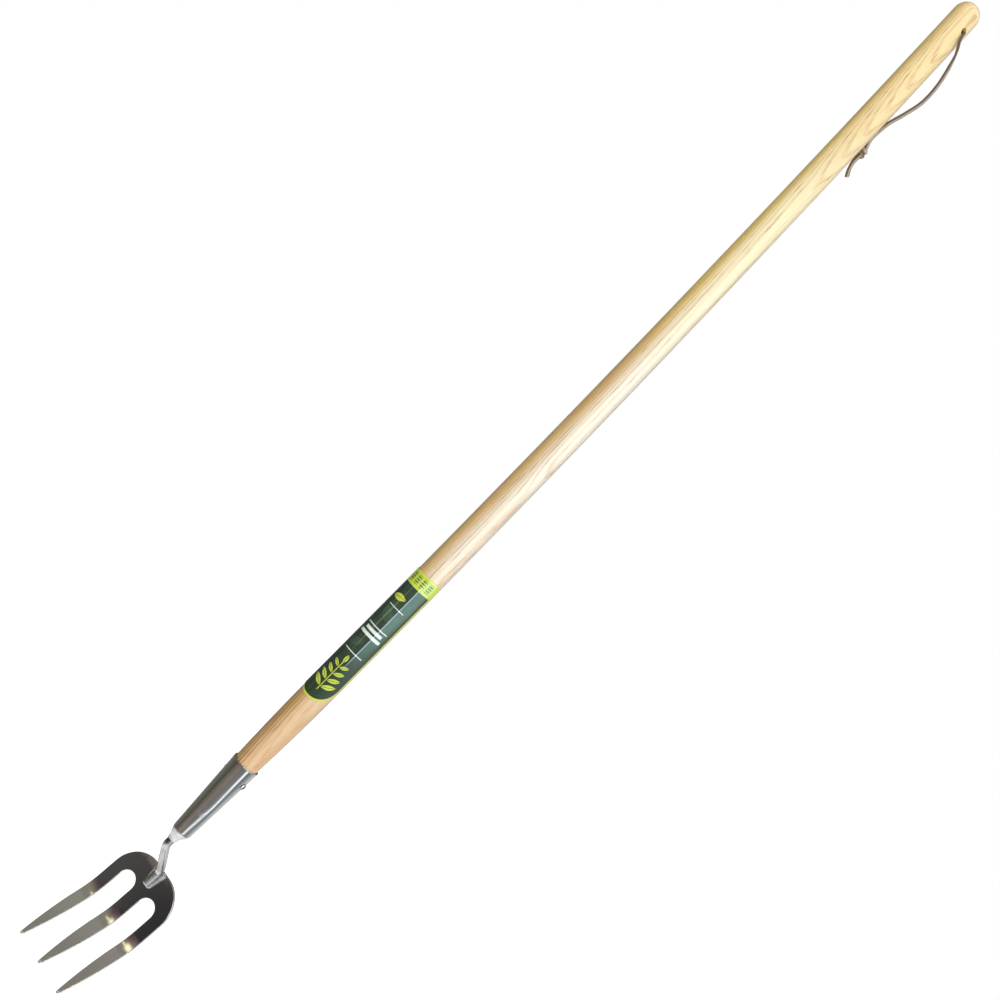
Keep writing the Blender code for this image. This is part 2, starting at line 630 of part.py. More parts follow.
def build():
    """Builds the whole fork."""
    clear_scene()
    parts = new_collection("weeding_fork")
    cutters = new_collection("cutters")
    ash = material("pale_ash", (0.80, 0.62, 0.38), 0.45)
    polished = material("polished_steel", (0.62, 0.62, 0.60), 0.12, 1.0)
    frosted = material("frosted_steel", (0.72, 0.72, 0.70), 0.42, 1.0)
    leather = material("brown_leather", (0.16, 0.09, 0.05), 0.75)
    paper = material("green_label", (0.03, 0.12, 0.08), 0.35)

    rod_seat = as_cutter(rod_tube("rod_seat", CLEARANCE, CLEARANCE, cutters))
    rivet_hole = cross_cylinder("rivet_hole", RIVET_SHANK_DIAMETER + 2 * CLEARANCE, -RIVET_DROP, 0.0, cutters)
    hang_hole = cross_cylinder("hang_hole", HOLE_DIAMETER, SHAFT_TOP - HOLE_DROP, HOLE_TURN, cutters)
    slab = face_slab(cutters)

    shaft = make_shaft(parts, ash)
    cut(shaft, hang_hole)
    cut(shaft, rivet_hole)
    socket = make_socket(parts, polished)
    cut(socket, rivet_hole)
    make_rivet(parts, polished)

    make_head(parts, polished)
    rod = rod_tube("swan_neck", 0.0, 0.0, parts, frosted)
    cut(rod, slab)
    neck_weld = make_neck_weld(parts, frosted)
    cut(neck_weld, rod_seat)
    head_weld = make_head_weld(parts, frosted)
    cut(head_weld, rod_seat)
    cut(head_weld, slab)

    make_label(parts, paper)
    make_thong(parts, leather)


build()
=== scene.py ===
"""Dresses the long-handled weeding fork: ash shaft, polished socket and head, frosted neck, label, lace."""

import logging
import math
from dataclasses import dataclass
from enum import Enum
from typing import Callable, Sequence

import bmesh
import bpy
from bmesh.types import BMesh, BMEdge, BMVert
from bpy.types import Material, Object
from mathutils import Matrix, Vector


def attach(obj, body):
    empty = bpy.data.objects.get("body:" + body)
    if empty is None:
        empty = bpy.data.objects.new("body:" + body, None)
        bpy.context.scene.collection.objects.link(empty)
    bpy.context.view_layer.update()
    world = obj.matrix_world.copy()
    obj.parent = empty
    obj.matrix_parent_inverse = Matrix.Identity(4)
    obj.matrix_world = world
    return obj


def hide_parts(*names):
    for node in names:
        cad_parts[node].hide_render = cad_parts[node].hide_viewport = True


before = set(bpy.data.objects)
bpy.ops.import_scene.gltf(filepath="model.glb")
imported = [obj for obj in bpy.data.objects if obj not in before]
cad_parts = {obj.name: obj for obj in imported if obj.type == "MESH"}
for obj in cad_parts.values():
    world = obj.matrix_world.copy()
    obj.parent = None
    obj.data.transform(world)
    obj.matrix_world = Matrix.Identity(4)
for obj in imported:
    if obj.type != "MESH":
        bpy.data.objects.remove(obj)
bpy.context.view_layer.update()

LOG = logging.getLogger("weeding_fork")
MM = 0.001
ORIGIN = (0.0, 0.0, 0.0)
RIGHT, BACKWARD, UP = (1.0, 0.0, 0.0), (0.0, 1.0, 0.0), (0.0, 0.0, 1.0)
WELD = 1e-6
SHARP = 38.0
CLEARANCE = 0.3 * MM
MOUTH = 14.5 * MM
SOCKET_LENGTH = 87.3 * MM
Triple = tuple[float, float, float]
Colour = Triple
Along = Callable[[float], float]


class Body(Enum):
    """The bodies that pieces ride on."""

    TOOL = "tool"
    THONG = "thong"


class Slot(Enum):
    """The names of material slots, which nothing here uses."""

    ASH = "ash"
    POLISHED = "polished_steel"
    FROSTED = "frosted_steel"
    LABEL = "label"
    LEATHER = "leather"


class Pen:
    """Draws a line of edges on the plane Z = 0, by extruding and spinning its last vertex."""

    def __init__(self, bm: BMesh, start: tuple[float, float]) -> None:
        """Puts the pen down at its first point."""
        self.bm = bm
        self.vert = bm.verts.new((*start, 0.0))

    def line(self, *points: tuple[float, float]) -> "Pen":
        """Draws straight edges from point to point and returns the pen."""
        for point in points:
            self.vert = bmesh.ops.extrude_vert_indiv(self.bm, verts=[self.vert])["verts"][0]
            self.vert.co = (*point, 0.0)
        return self

    def arc(self, centre: tuple[float, float], degrees: float, steps: int) -> "Pen":
        """Draws an arc about a centre, anticlockwise for positive degrees, and returns the pen."""
        made = bmesh.ops.spin(self.bm, geom=[self.vert], cent=(*centre, 0.0), axis=UP,
                              angle=math.radians(degrees), steps=steps, use_duplicate=False)
        self.vert = picked(made["geom_last"], BMVert)[0]
        return self


def picked(geometry: Sequence, kind: type) -> list:
    """Returns the items of one kind among a bmesh operator's geometry."""
    return [item for item in geometry if isinstance(item, kind)]


def turn_mesh(bm: BMesh, angle: float, axis: str) -> None:
    """Turns a whole mesh about an axis through the origin."""
    bmesh.ops.rotate(bm, verts=bm.verts, cent=ORIGIN, matrix=Matrix.Rotation(angle, 3, axis))


def weld(bm: BMesh, gap: float = WELD) -> None:
    """Joins the vertices that lie within a gap of each other."""
    bmesh.ops.remove_doubles(bm, verts=bm.verts, dist=gap)


def mirror(bm: BMesh, axis: str, gap: float = WELD) -> None:
    """Adds a whole mesh's mirror image across an axis and welds both at their seam."""
    bmesh.ops.mirror(bm, geom=bm.verts[:] + bm.edges[:], axis=axis, merge_dist=WELD)
    weld(bm, gap)


def slice_mesh(bm: BMesh, point: Triple, normal: Triple) -> None:
    """Cuts new edges across a whole mesh, where a plane meets it."""
    bmesh.ops.bisect_plane(bm, geom=bm.verts[:] + bm.edges[:] + bm.faces[:], dist=1e-7, plane_co=point,
                           plane_no=normal)


def outward(bm: BMesh) -> None:
    """Turns every face of a mesh to face outward."""
    bmesh.ops.recalc_face_normals(bm, faces=bm.faces[:])


def thicken(bm: BMesh, rise: float) -> None:
    """Makes a flat mesh solid, by extruding it up or down."""
    wall = bmesh.ops.extrude_face_region(bm, geom=bm.faces[:])["geom"]
    bmesh.ops.translate(bm, verts=picked(wall, BMVert), vec=(0.0, 0.0, rise))
    outward(bm)


def smooth_path(route: Sequence[Vector], parts: int) -> list[Vector]:
    """Reads points from a smooth curve through a route, whose gaps are each split into equal parts."""
    stops = [route[0] * 2 - route[1], *route, route[-1] * 2 - route[-2]]
    points = []
    for a, b, c, d in zip(stops, stops[1:], stops[2:], stops[3:]):
        for i in range(parts):
            t = i / parts
            points.append((b * 2 + (c - a) * t + (a * 2 - b * 5 + c * 4 - d) * t ** 2
                           + (b * 3 - a - c * 3 + d) * t ** 3) / 2)
    return [*points, route[-1]]


def rounded_path(corners: Sequence[Vector], radius: float, steps: int) -> list[Vector]:
    """Rounds each inner corner of straight runs with an arc of some steps, and returns the points."""
    points = [corners[0]]
    for before, corner, after in zip(corners, corners[1:], corners[2:]):
        into, out = (corner - before).normalized(), (after - corner).normalized()
        bend = into.angle(out)
        start = corner - into * radius * math.tan(bend / 2)
        inward = (out - into * into.dot(out)).normalized()
        for i in range(steps + 1):
            angle = bend * i / steps
            points.append(start + into * radius * math.sin(angle) + inward * radius * (1 - math.cos(angle)))
    return [*points, corners[-1]]


def split_path(path: Sequence[Vector], gap: float) -> list[Vector]:
    """Splits the long straight gaps of a path into parts no longer than a gap, and returns the points."""
    points = [path[0]]
    for before, after in zip(path, path[1:]):
        parts = max(1, math.ceil((after - before).length / gap))
        points += [before.lerp(after, i / parts) for i in range(1, parts + 1)]
    return points


def path_length(path: Sequence[Vector]) -> float:
    """Returns the length of a path."""
    return sum((after - before).length for before, after in zip(path, path[1:]))


def risen(share: float, start: float, length: float) -> float:
    """Returns 0 before a start, 1 past a length from it, and what is covered of it in between."""
    return min(1.0, max(0.0, (share - start) / length))


def sweep(bm: BMesh, path: Sequence[Vector], side: Vector, girth: Along = lambda share: 1.0,
          twist: Along = lambda share: 0.0) -> None:
    """Carries a mesh's ring along a path by extrusion, and closes both ends.

    Each vertex keeps its place in the ring and its way along the path, in metres, in the attribute "lie".

    Args:
        bm: The mesh, which holds one ring round the origin on the plane Z = 0.
        path: The points that the ring's middle follows.
        side: The direction that the ring's X starts along.
        girth: Gives the ring's size at a share of the path.
        twist: Gives its turn about the path there, in radians.
    """
    lie = bm.verts.layers.float_vector.new("lie")
    ring = bm.verts[:]
    for vert in ring:
        vert[lie] = vert.co
    tangents = [(after - before).normalized()
                for before, after in zip([path[0], *path[:-1]], [*path[1:], path[-1]])]
    first = tangents[0]
    across = (side - first * side.dot(first)).normalized()
    frame_turn = Matrix((across, first.cross(across), first)).transposed()
    bmesh.ops.transform(bm, matrix=Matrix.Translation(path[0]) @ frame_turn.to_4x4(), verts=ring)
    edges = list({edge for vert in ring for edge in vert.link_edges})
    whole, way, size, wound = path_length(path), 0.0, 1.0, 0.0
    for index, place in enumerate(path):
        if index:
            geometry = bmesh.ops.extrude_edge_only(bm, edges=edges)["geom"]
            edges, ring = picked(geometry, BMEdge), picked(geometry, BMVert)
            swing = tangents[index - 1].rotation_difference(tangents[index]).to_matrix()
            bmesh.ops.rotate(bm, verts=ring, cent=path[index - 1], matrix=swing)
            bmesh.ops.translate(bm, verts=ring, vec=place - path[index - 1])
            way += (place - path[index - 1]).length
        turned = twist(way / whole)
        bmesh.ops.rotate(bm, verts=ring, cent=place,
                         matrix=Matrix.Rotation(turned - wound, 3, tangents[index]))
        wound = turned
        growth = girth(way / whole) / size
        size *= growth
        bmesh.ops.scale(bm, verts=ring, vec=(growth,) * 3, space=Matrix.Translation(-place))
        for vert in ring:
            vert[lie] = (vert[lie].x, vert[lie].y, way)
    bmesh.ops.holes_fill(bm, edges=[edge for edge in bm.edges if edge.is_boundary])
    outward(bm)


def strap_ring(bm: BMesh, width: float, thickness: float, corner: float) -> None:
    """Draws a flat ring with rounded corners at the origin, its width along X."""
    made = bmesh.ops.create_grid(bm, x_segments=1, y_segments=1, size=0.5)["verts"]
    bmesh.ops.scale(bm, verts=made, vec=(width, thickness, 1.0))
    bmesh.ops.bevel(bm, geom=made, affect="VERTICES", offset=corner, segments=3, profile=0.5, material=-1)
    bmesh.ops.subdivide_edges(bm, edges=[e for e in bm.edges if e.calc_length() > width * 0.4], cuts=1)
    bmesh.ops.dissolve_edges(bm, edges=[e for e in bm.edges if len(e.link_faces) == 2], use_verts=False)
    bmesh.ops.delete(bm, geom=bm.faces[:], context="FACES_ONLY")


def lathe(bm: BMesh, axis: Triple, steps: int) -> None:
    """Spins everything drawn once round an axis through the origin, and welds the seam and the poles."""
    bmesh.ops.spin(bm, geom=bm.verts[:] + bm.edges[:], cent=ORIGIN, axis=axis, angle=math.tau, steps=steps,
                   use_merge=True)
    weld(bm)
    outward(bm)


def added(name: str, bm: BMesh) -> Object:
    """Turns a bmesh, which is freed, into an object of the scene and returns it."""
    mesh = bpy.data.meshes.new(name)
    bm.to_mesh(mesh)
    bm.free()
    obj = bpy.data.objects.new(name, mesh)
    bpy.context.scene.collection.objects.link(obj)
    return obj


def piece(name: str, bm: BMesh, finish: Material, nodes: Sequence[str], sharp: float = SHARP,
          body: Body = Body.TOOL) -> Object:
    """Turns a bmesh into a finished piece that rides on a body.

    Args:
        name: The piece's name.
        bm: Its mesh, in place, which is freed.
        finish: Its material.
        nodes: The solids that it stands for.
        sharp: The angle in degrees past which an edge is shaded sharp.
        body: The body that it rides on.

    Returns:
        The object.
    """
    obj = added(name, bm)
    obj.data.materials.append(finish)
    obj.data.shade_smooth()
    obj.data.set_sharp_from_angle(angle=math.radians(sharp))
    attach(obj, body.value)
    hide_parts(*nodes)
    LOG.info("%s: %d faces on %s", name, len(obj.data.polygons), body.value)
    return obj


class Value:
    """A number, place or colour inside a material; sums with it add nodes."""

    def __init__(self, recipe: "Recipe", socket: bpy.types.NodeSocket) -> None:
        """Keeps the recipe and the socket that gives the value."""
        self.recipe, self.socket = recipe, socket

    def math(self, operation: str, *others: object, clamp: bool = False) -> "Value":
        """Adds a sum of this and others, and returns its result."""
        return self.recipe.node("ShaderNodeMath", dict(enumerate((self, *others))), operation=operation,
                                use_clamp=clamp)

    def __add__(self, other: object) -> "Value":
        """Returns the sum."""
        return self.math("ADD", other)

    def __sub__(self, other: object) -> "Value":
        """Returns the difference."""
        return self.math("SUBTRACT", other)

    def __rsub__(self, other: float) -> "Value":
        """Returns a number less this."""
        return self.math("MULTIPLY_ADD", -1.0, other)

    def __mul__(self, other: object) -> "Value":
        """Returns the product."""
        return self.math("MULTIPLY", other)

    def __truediv__(self, other: object) -> "Value":
        """Returns the quotient."""
        return self.math("DIVIDE", other)

    def __abs__(self) -> "Value":
        """Returns this without its sign."""
        return self.math("ABSOLUTE")

    def most(self, *others: object) -> "Value":
        """Returns the greatest of this and others."""
        greatest = self
        for other in others:
            greatest = greatest.math("MAXIMUM", other)
        return greatest

    def between(self, low: float, high: float, start: float = 0.0, end: "Value | float" = 1.0) -> "Value":
        """Eases from start to end as this goes from low to high."""
        return self.recipe.node("ShaderNodeMapRange", {0: self, 1: low, 2: high, 3: start, 4: end},
                                interpolation_type="SMOOTHSTEP")

    def mix(self, a: object, b: object) -> "Value":
        """Mixes two colours, by this share of the second."""
        return self.recipe.node("ShaderNodeMix", {0: self, 6: a, 7: b}, 2, data_type="RGBA")

    def tinted(self, tint: Colour) -> "Value":
        """Returns this colour times another."""
        return self.recipe.node("ShaderNodeMix", {0: 1.0, 6: self, 7: tint}, 2, data_type="RGBA",
                                blend_type="MULTIPLY")


class Recipe:
    """Builds one material, or the world's shader, node by node."""

    def __init__(self, name: str, world: bool = False) -> None:
        """Starts a material, or a world, with its shader."""
        self.owner = (bpy.data.worlds if world else bpy.data.materials).new(name)
        self.owner.use_nodes = True
        self.tree = self.owner.node_tree
        self.shader = self.tree.nodes["Background" if world else "Principled BSDF"]

    def node(self, kind: str, inputs: dict | None = None, out: int | str = 0, **settings) -> Value:
        """Adds a node.

        Args:
            kind: The node's type.
            inputs: Values for its inputs, by name or number.
            out: The output that is read.
            **settings: Its properties.

        Returns:
            The output's value.
        """
        made = self.tree.nodes.new(kind)
        for key, value in settings.items():
            setattr(made, key, value)
        for key, value in (inputs or {}).items():
            self.feed(made.inputs[key], value)
        return Value(self, made.outputs[out])

    def feed(self, socket: bpy.types.NodeSocket, value: object) -> None:
        """Links a socket to a value, or gives it a constant."""
        if isinstance(value, Value):
            self.tree.links.new(value.socket, socket)
        else:
            socket.default_value = (*value, 1.0) if socket.type == "RGBA" else value

    def set(self, **values: object) -> None:
        """Feeds the shader's sockets, named with underscores for spaces."""
        for key, value in values.items():
            self.feed(self.shader.inputs[key.replace("_", " ")], value)

    def finish(self, height: Value, depth: float, strength: float = 1.0, **values: object) -> Material:
        """Feeds the shader's sockets, raises its surface and returns the material.

        Args:
            height: The surface's height, from 0 to 1.
            depth: What a height of 1 is, in metres.
            strength: The bump's strength.
            **values: The shader's sockets, named with underscores for spaces.
        """
        bump = {"Strength": strength, "Distance": depth, "Height": height}
        self.set(Normal=self.node("ShaderNodeBump", bump), **values)
        return self.owner

    def ramp(self, value: Value, *stops: tuple[float, Colour]) -> Value:
        """Reads a colour from a ramp of (place, colour) stops."""
        made = self.node("ShaderNodeValToRGB", {0: value})
        elements = made.socket.node.color_ramp.elements
        while len(elements) < len(stops):
            elements.new(0.5)
        for element, (place, colour) in zip(elements, stops):
            element.position = place
            element.color = (*colour, 1.0)
        return made

    def place(self) -> Value:
        """Returns the object's own coordinates."""
        return self.node("ShaderNodeTexCoord", out="Object")

    def noise(self, scale: float | Triple, detail: float = 2.0, rough: float = 0.5,
              source: Value | None = None, warp: float = 0.0) -> Value:
        """Reads a noise.

        Args:
            scale: Its scale, which stretches it where one is given for each axis.
            detail: How many finer layers it has.
            rough: How strong they are.
            source: Its coordinates, which are the object's own by default.
            warp: How far it is distorted.

        Returns:
            The noise's value, from 0 to 1.
        """
        place = source or self.place()
        if isinstance(scale, tuple):
            place, scale = self.node("ShaderNodeMapping", {0: place, 3: scale}), 1.0
        return self.node("ShaderNodeTexNoise", {"Vector": place, "Scale": scale, "Detail": detail,
                                                "Roughness": rough, "Distortion": warp})

    def axes(self, source: Value | None = None) -> tuple[Value, Value, Value]:
        """Splits coordinates, the object's own by default, into three numbers."""
        split = self.node("ShaderNodeSeparateXYZ", {0: source or self.place()})
        return tuple(Value(self, output) for output in split.socket.node.outputs)

    def joined(self, x: object = 0.0, y: object = 0.0, z: object = 0.0) -> Value:
        """Joins three numbers into coordinates."""
        return self.node("ShaderNodeCombineXYZ", {0: x, 1: y, 2: z})

    def attribute(self, name: str) -> Value:
        """Reads a vector attribute of the mesh."""
        return self.node("ShaderNodeAttribute", out="Vector", attribute_name=name)

    def seen(self) -> Value:
        """Returns 1 for what is looked at, mirrored or looked through, and otherwise 0."""
        camera, glossy, through = (self.node("ShaderNodeLightPath", out=f"Is {kind} Ray")
                                   for kind in ("Camera", "Glossy", "Transmission"))
        return camera.most(glossy, through)


def shaded(colour: Colour, share: float) -> Colour:
    """Returns a colour times a number."""
    return tuple(channel * share for channel in colour)


@dataclass(frozen=True)
class PolishedSteel:
    """Mirror-polished stainless steel with faint lines, handling marks and a slightly wavy face."""

    name: str
    tint: Colour = (0.62, 0.61, 0.595)
    roughness: float = 0.07
    line_scale: Triple = (900.0, 900.0, 60.0)
    wave_scale: Triple = (38.0, 38.0, 30.0)
    wave: float = 3.2e-4

    def material(self) -> Material:
        """Returns the material."""
        recipe = Recipe(self.name)
        lines = recipe.noise(self.line_scale, 3.0, 0.6)
        clouds = recipe.noise(45.0, 3.0, 0.55)
        marks = recipe.noise(140.0, 4.0, 0.6, warp=0.8).between(0.5, 0.75)
        colour = clouds.between(0.35, 0.7).mix(self.tint, shaded(self.tint, 0.9))
        colour = (lines * 0.12).mix(colour, (0.5, 0.49, 0.47))
        waves = recipe.noise(self.wave_scale, 1.0) + lines * (2e-6 / self.wave)
        return recipe.finish(waves, self.wave, Base_Color=colour, Metallic=1.0,
                             Roughness=marks * 0.06 + lines * 0.05 + self.roughness)


@dataclass(frozen=True)
class PressedSteel:
    """The plate's polished steel, with lines along the tines, a bloom, tips roughened by grinding and given
    a painted highlight, and a darker, less polished back.
    """

    name: str
    length: float
    thickness: float
    tint: Colour = (0.635, 0.625, 0.605)
    rear: Colour = (0.33, 0.325, 0.315)
    bloom: Colour = (0.53, 0.48, 0.48)
    tip_highlight: Colour = (0.94, 0.94, 0.93)
    roughness: float = 0.05

    def material(self) -> Material:
        """Returns the material, which reads the plate's own flat coordinates: across, up from the tips."""
        recipe = Recipe(self.name)
        flat = recipe.attribute("flat")
        across, up, depth = recipe.axes(flat)
        lines = recipe.noise((800.0, 26.0, 800.0), 3.0, 0.6, flat)
        wide = recipe.noise((240.0, 9.0, 240.0), 2.0, source=flat)
        clouds = recipe.noise(70.0, 3.0, 0.6, flat)
        ragged = clouds * (9.0 * MM) + wide * (3.0 * MM) + up
        high = ragged.between(self.length - 5.0 * MM, self.length + 4.5 * MM)
        left = across.between(3.0 * MM, -9.0 * MM) * across.between(-37.0 * MM, -27.0 * MM)
        right = across.between(5.0 * MM, 9.0 * MM, 0.0, 0.35) * across.between(20.0 * MM, 12.0 * MM)
        haze = high * left.most(right)
        # Painted highlight: the tips' last 2.6 mm are pale, ringed by a darker band of painted shade, and
        # the tips are rougher.
        tips = (clouds * (2.0 * MM) + up).between(6.2 * MM, 3.4 * MM)
        colour = clouds.between(0.4, 0.75, 0.0, 0.5).mix(self.tint, shaded(self.tint, 0.93))
        colour = wide.between(0.35, 0.75, 0.0, 0.14).mix(colour, (0.52, 0.49, 0.44))
        colour = haze.mix(colour, self.bloom)
        colour = tips.mix(colour, up.between(3.6 * MM, 2.6 * MM).mix((0.42, 0.42, 0.41), self.tip_highlight))
        back = depth.between(0.08 * MM - self.thickness, 0.02 * MM - self.thickness)
        scuffed = lines.between(0.35, 0.65).mix(shaded(self.rear, 0.72), self.rear)
        colour = back.mix(colour, clouds.between(0.35, 0.7, 0.0, 0.4).mix(scuffed, self.tint))
        rough = lines * 0.05 + haze.most(tips, back * 0.6) * 0.33 + self.roughness
        return recipe.finish(lines * 0.4 + wide, 7e-6, 0.6, Base_Color=colour, Metallic=1.0,
                             Roughness=rough)


@dataclass(frozen=True)
class SatinSteel:
    """Ground steel with a satin or a blasted, frosted face."""

    name: str
    tint: Colour
    dark: Colour
    roughness: float
    grain: float
    depth: float
    metal: float = 1.0
    heat: tuple[float, float] | None = None

    def material(self) -> Material:
        """Returns the material, heat tinted on its left between two heights if they are given."""
        recipe = Recipe(self.name)
        fine = recipe.noise(self.grain, 2.0, 0.7)
        coarse = recipe.noise(self.grain * 0.12, 3.0, 0.6)
        pits = recipe.noise(self.grain * 0.45, 1.0).between(0.34, 0.44)
        share = fine * 0.35 + coarse * 0.65
        colour = share.between(0.36, 0.62).mix(self.dark, self.tint)
        colour = ((1.0 - pits) * 0.5).mix(colour, self.dark)
        if self.heat:
            x, _, z = recipe.axes()
            warmed = z.between(*self.heat) * x.between(0.5 * MM, -2.0 * MM)
            colour = (warmed * 0.85).mix(colour, (0.3, 0.265, 0.215))
            # A darker patch on the rod's left, down to about 105 mm below the mouth, which shows just below
            # the cone.
            ragged = coarse * (3.0 * MM) + x * -0.8 + z
            dark_patch = ragged.between(-107.0 * MM, -103.5 * MM) * x.between(3.0 * MM, 1.0 * MM)
            colour = (dark_patch * 0.8).mix(colour, (0.1, 0.105, 0.095))
        return recipe.finish(fine + pits * 0.6, self.depth, Base_Color=colour, Metallic=self.metal,
                             Roughness=fine * 0.16 + (self.roughness - 0.08))


@dataclass(frozen=True)
class WeldBead:
    """The weld on the plate, smoothed by grinding: bright round the toe, darkened up its right arm by
    painted shade, and left bright at that arm's top end as a painted highlight.
    """

    whole: float
    bright: Colour = (0.84, 0.85, 0.82)
    painted_arm_shade: Colour = (0.36, 0.34, 0.37)

    def material(self) -> Material:
        """Returns the material, which reads the bead's own way along itself."""
        recipe = Recipe("bead_steel")
        way = recipe.axes(recipe.attribute("lie"))[2]
        fine = recipe.noise(800.0, 2.0, 0.7)
        coarse = recipe.noise(190.0, 3.0, 0.6)
        # Painted shade up the right arm. It stops short of the arm's top end, which keeps a painted
        # highlight.
        arm = (coarse * (6.0 * MM) + way).between(self.whole * 0.48, self.whole * 0.24)
        colour = coarse.between(0.4, 0.66).mix(shaded(self.bright, 0.62), self.bright)
        arm = arm * way.between(self.whole * 0.09, self.whole * 0.15)
        colour = (arm * 0.85).mix(colour, self.painted_arm_shade)
        colour = way.between(self.whole * 0.8, self.whole * 0.9, 0.0, 0.7).mix(colour, (0.6, 0.53, 0.44))
        return recipe.finish(coarse * 1.4 + fine, 6e-5, Base_Color=colour, Metallic=0.5,
                             Roughness=fine * 0.18 + 0.26)


@dataclass(frozen=True)
class RivetSteel:
    """The rivet's bright dome, with a dark crescent of painted shade on its lower back side."""

    seat: float

    def material(self) -> Material:
        """Returns the material."""
        recipe = Recipe("rivet_steel")
        _, y, z = recipe.axes()
        clouds = recipe.noise(700.0, 2.0, 0.6)
        # Painted shade: a dark crescent on the dome's lower back side, which also loses its metal and shine
        # there.
        painted_crescent_shade = (y + (z + self.seat) * -0.28 + clouds * (0.3 * MM)).between(-2.0 * MM, -1.3 * MM)
        colour = clouds.mix((0.9, 0.9, 0.89), (0.96, 0.96, 0.95))
        colour = painted_crescent_shade.mix(colour, (0.012, 0.012, 0.012))
        unshaded = painted_crescent_shade.between(0.0, 0.3, 1.0, 0.0)
        return recipe.finish(clouds, 2e-5, Base_Color=colour, Metallic=unshaded * 0.7,
                             Roughness=painted_crescent_shade * 0.35 + 0.14, Specular_IOR_Level=unshaded * 0.5)


@dataclass(frozen=True)
class LacqueredAsh:
    """Lacquered ash: year rings cut by the round shaft, amber where cut edge on and pale where flat, the
    pale stops partly whitened as a painted sheen.
    """

    bend: "HandleShaft"
    name: str = "lacquered_ash"
    heights: tuple[float, ...] = (0.05, 0.20, 0.28, 0.52, 0.62, 0.74, 0.84)
    amber: tuple[Colour, ...] = (
        (0.65, 0.37, 0.12), (0.69, 0.43, 0.15), (0.75, 0.50, 0.18), (0.80, 0.54, 0.20), (0.90, 0.65, 0.165),
        (0.95, 0.70, 0.18), (0.96, 0.69, 0.21))
    # The pale stops are the wood's colour, whitened at 0.28 and 0.52 up as a painted sheen.
    cream_and_sheen: tuple[Colour, ...] = (
        (0.77, 0.52, 0.295), (0.82, 0.65, 0.45), (0.80, 0.73, 0.60), (0.81, 0.745, 0.60),
        (0.86, 0.79, 0.53), (0.90, 0.81, 0.50), (0.93, 0.75, 0.39))
    vessel: Colour = (0.40, 0.195, 0.05)
    umber: Colour = (0.23, 0.10, 0.025)
    tan: Colour = (0.72, 0.40, 0.17)
    heart: float = 60.0 * MM

    def straightened(self, recipe: Recipe) -> Value:
        """Returns the object's coordinates with the shaft's bow taken out, so that the grain follows it."""
        shaft = self.bend
        share = recipe.axes()[2].math("DIVIDE", shaft.top, clamp=True)
        offset = share * ((1.0 - share) * (4 * shaft.bow) - shaft.set_back)
        back = (-math.cos(shaft.bow_turn), -math.sin(shaft.bow_turn), 0.0)
        return recipe.node("ShaderNodeVectorMath", {0: back, 1: offset, 2: recipe.place()},
                           operation="MULTIPLY_ADD")

    def rings(self, recipe: Recipe, straight: Value) -> tuple[Value, Value]:
        """Returns the place within a year ring, from 0 at its pores to 1, and how flat the ring is cut."""
        height = recipe.axes()[2]
        turn = height.between(0.50, 0.78, math.radians(108.0), math.radians(126.0))
        inputs = {"Vector": straight, "Angle": turn}
        across, out, _ = recipe.axes(recipe.node("ShaderNodeVectorRotate", inputs, rotation_type="Z_AXIS"))
        sway = recipe.noise((14.0, 14.0, 2.2), 2.0, 0.5, straight)
        ripple = recipe.noise((90.0, 90.0, 13.0), 1.0, 0.5, straight)
        climb = (height - 0.765).most(0.0).math("MINIMUM", 0.18)
        depth = (out + self.heart + height * 0.006 + height.between(-0.01, 0.11, 0.0, 3.6 * MM)
                 + height.between(0.362, 0.412, 0.0, 2.2 * MM) + climb * 0.066 + sway * (4.0 * MM)
                 + ripple * (1.3 * MM))
        reach = recipe.node("ShaderNodeVectorMath", {0: recipe.joined(across, depth)}, "Value",
                            operation="LENGTH")
        gap = height.between(0.10, 0.26, 3.2 * MM, 2.2 * MM)
        return ((reach - self.heart) / gap).math("FRACT"), out.between(0.5 * MM, 11.5 * MM)

    def material(self) -> Material:
        """Returns the material."""
        recipe = Recipe(self.name)
        height = recipe.axes()[2]
        straight = self.straightened(recipe)
        years, flat = self.rings(recipe, straight)

        def streaks(fine: float, tall: float, detail: float, rough: float) -> Value:
            return recipe.noise((fine, fine, tall), detail, rough, straight)

        place = height.math("ADD", 0.0, clamp=True)
        base = flat.mix(recipe.ramp(place, *zip(self.heights, self.amber)),
                        recipe.ramp(place, *zip(self.heights, self.cream_and_sheen)))
        thread, fibre = streaks(520.0, 5.5, 2.0, 0.6), streaks(1500.0, 16.0, 3.0, 0.62)
        broad, pores = streaks(85.0, 4.0, 2.0, 0.5), streaks(1150.0, 42.0, 1.0, 0.5).between(0.56, 0.66)
        band = years.between(0.0, 0.08) * years.between(0.52, 0.2)
        late = years.between(0.55, 1.0, 0.0, 0.2)
        uneven = thread.between(0.3, 0.62, 0.7, 1.0)
        edge_on = height.between(0.26, 0.1, 0.52, 1.0).most(height.between(0.74, 0.82, 0.0, 0.4))
        flat_on = height.between(0.3, 0.08, 0.42, 0.55).most(height.between(0.76, 0.84, 0.0, 0.27))
        force = flat * (flat_on - edge_on) + edge_on
        lines = band * uneven * force
        ink = flat.mix(height.between(0.11, 0.06).mix(self.vessel, self.umber), self.tan)
        colour = (lines + late * force).mix(base, ink)
        colour = (thread.between(0.5, 0.78) * (flat * -0.22 + 0.42)).mix(colour, self.vessel)
        colour = fibre.between(0.45, 0.78, 0.0, 0.3).mix(colour, (0.95, 0.86, 0.66))
        colour = (pores * (band * 0.5 + 0.08)).mix(colour, (0.3, 0.16, 0.05))
        colour = broad.between(0.52, 0.78, 0.0, 0.16).mix(colour, self.vessel)
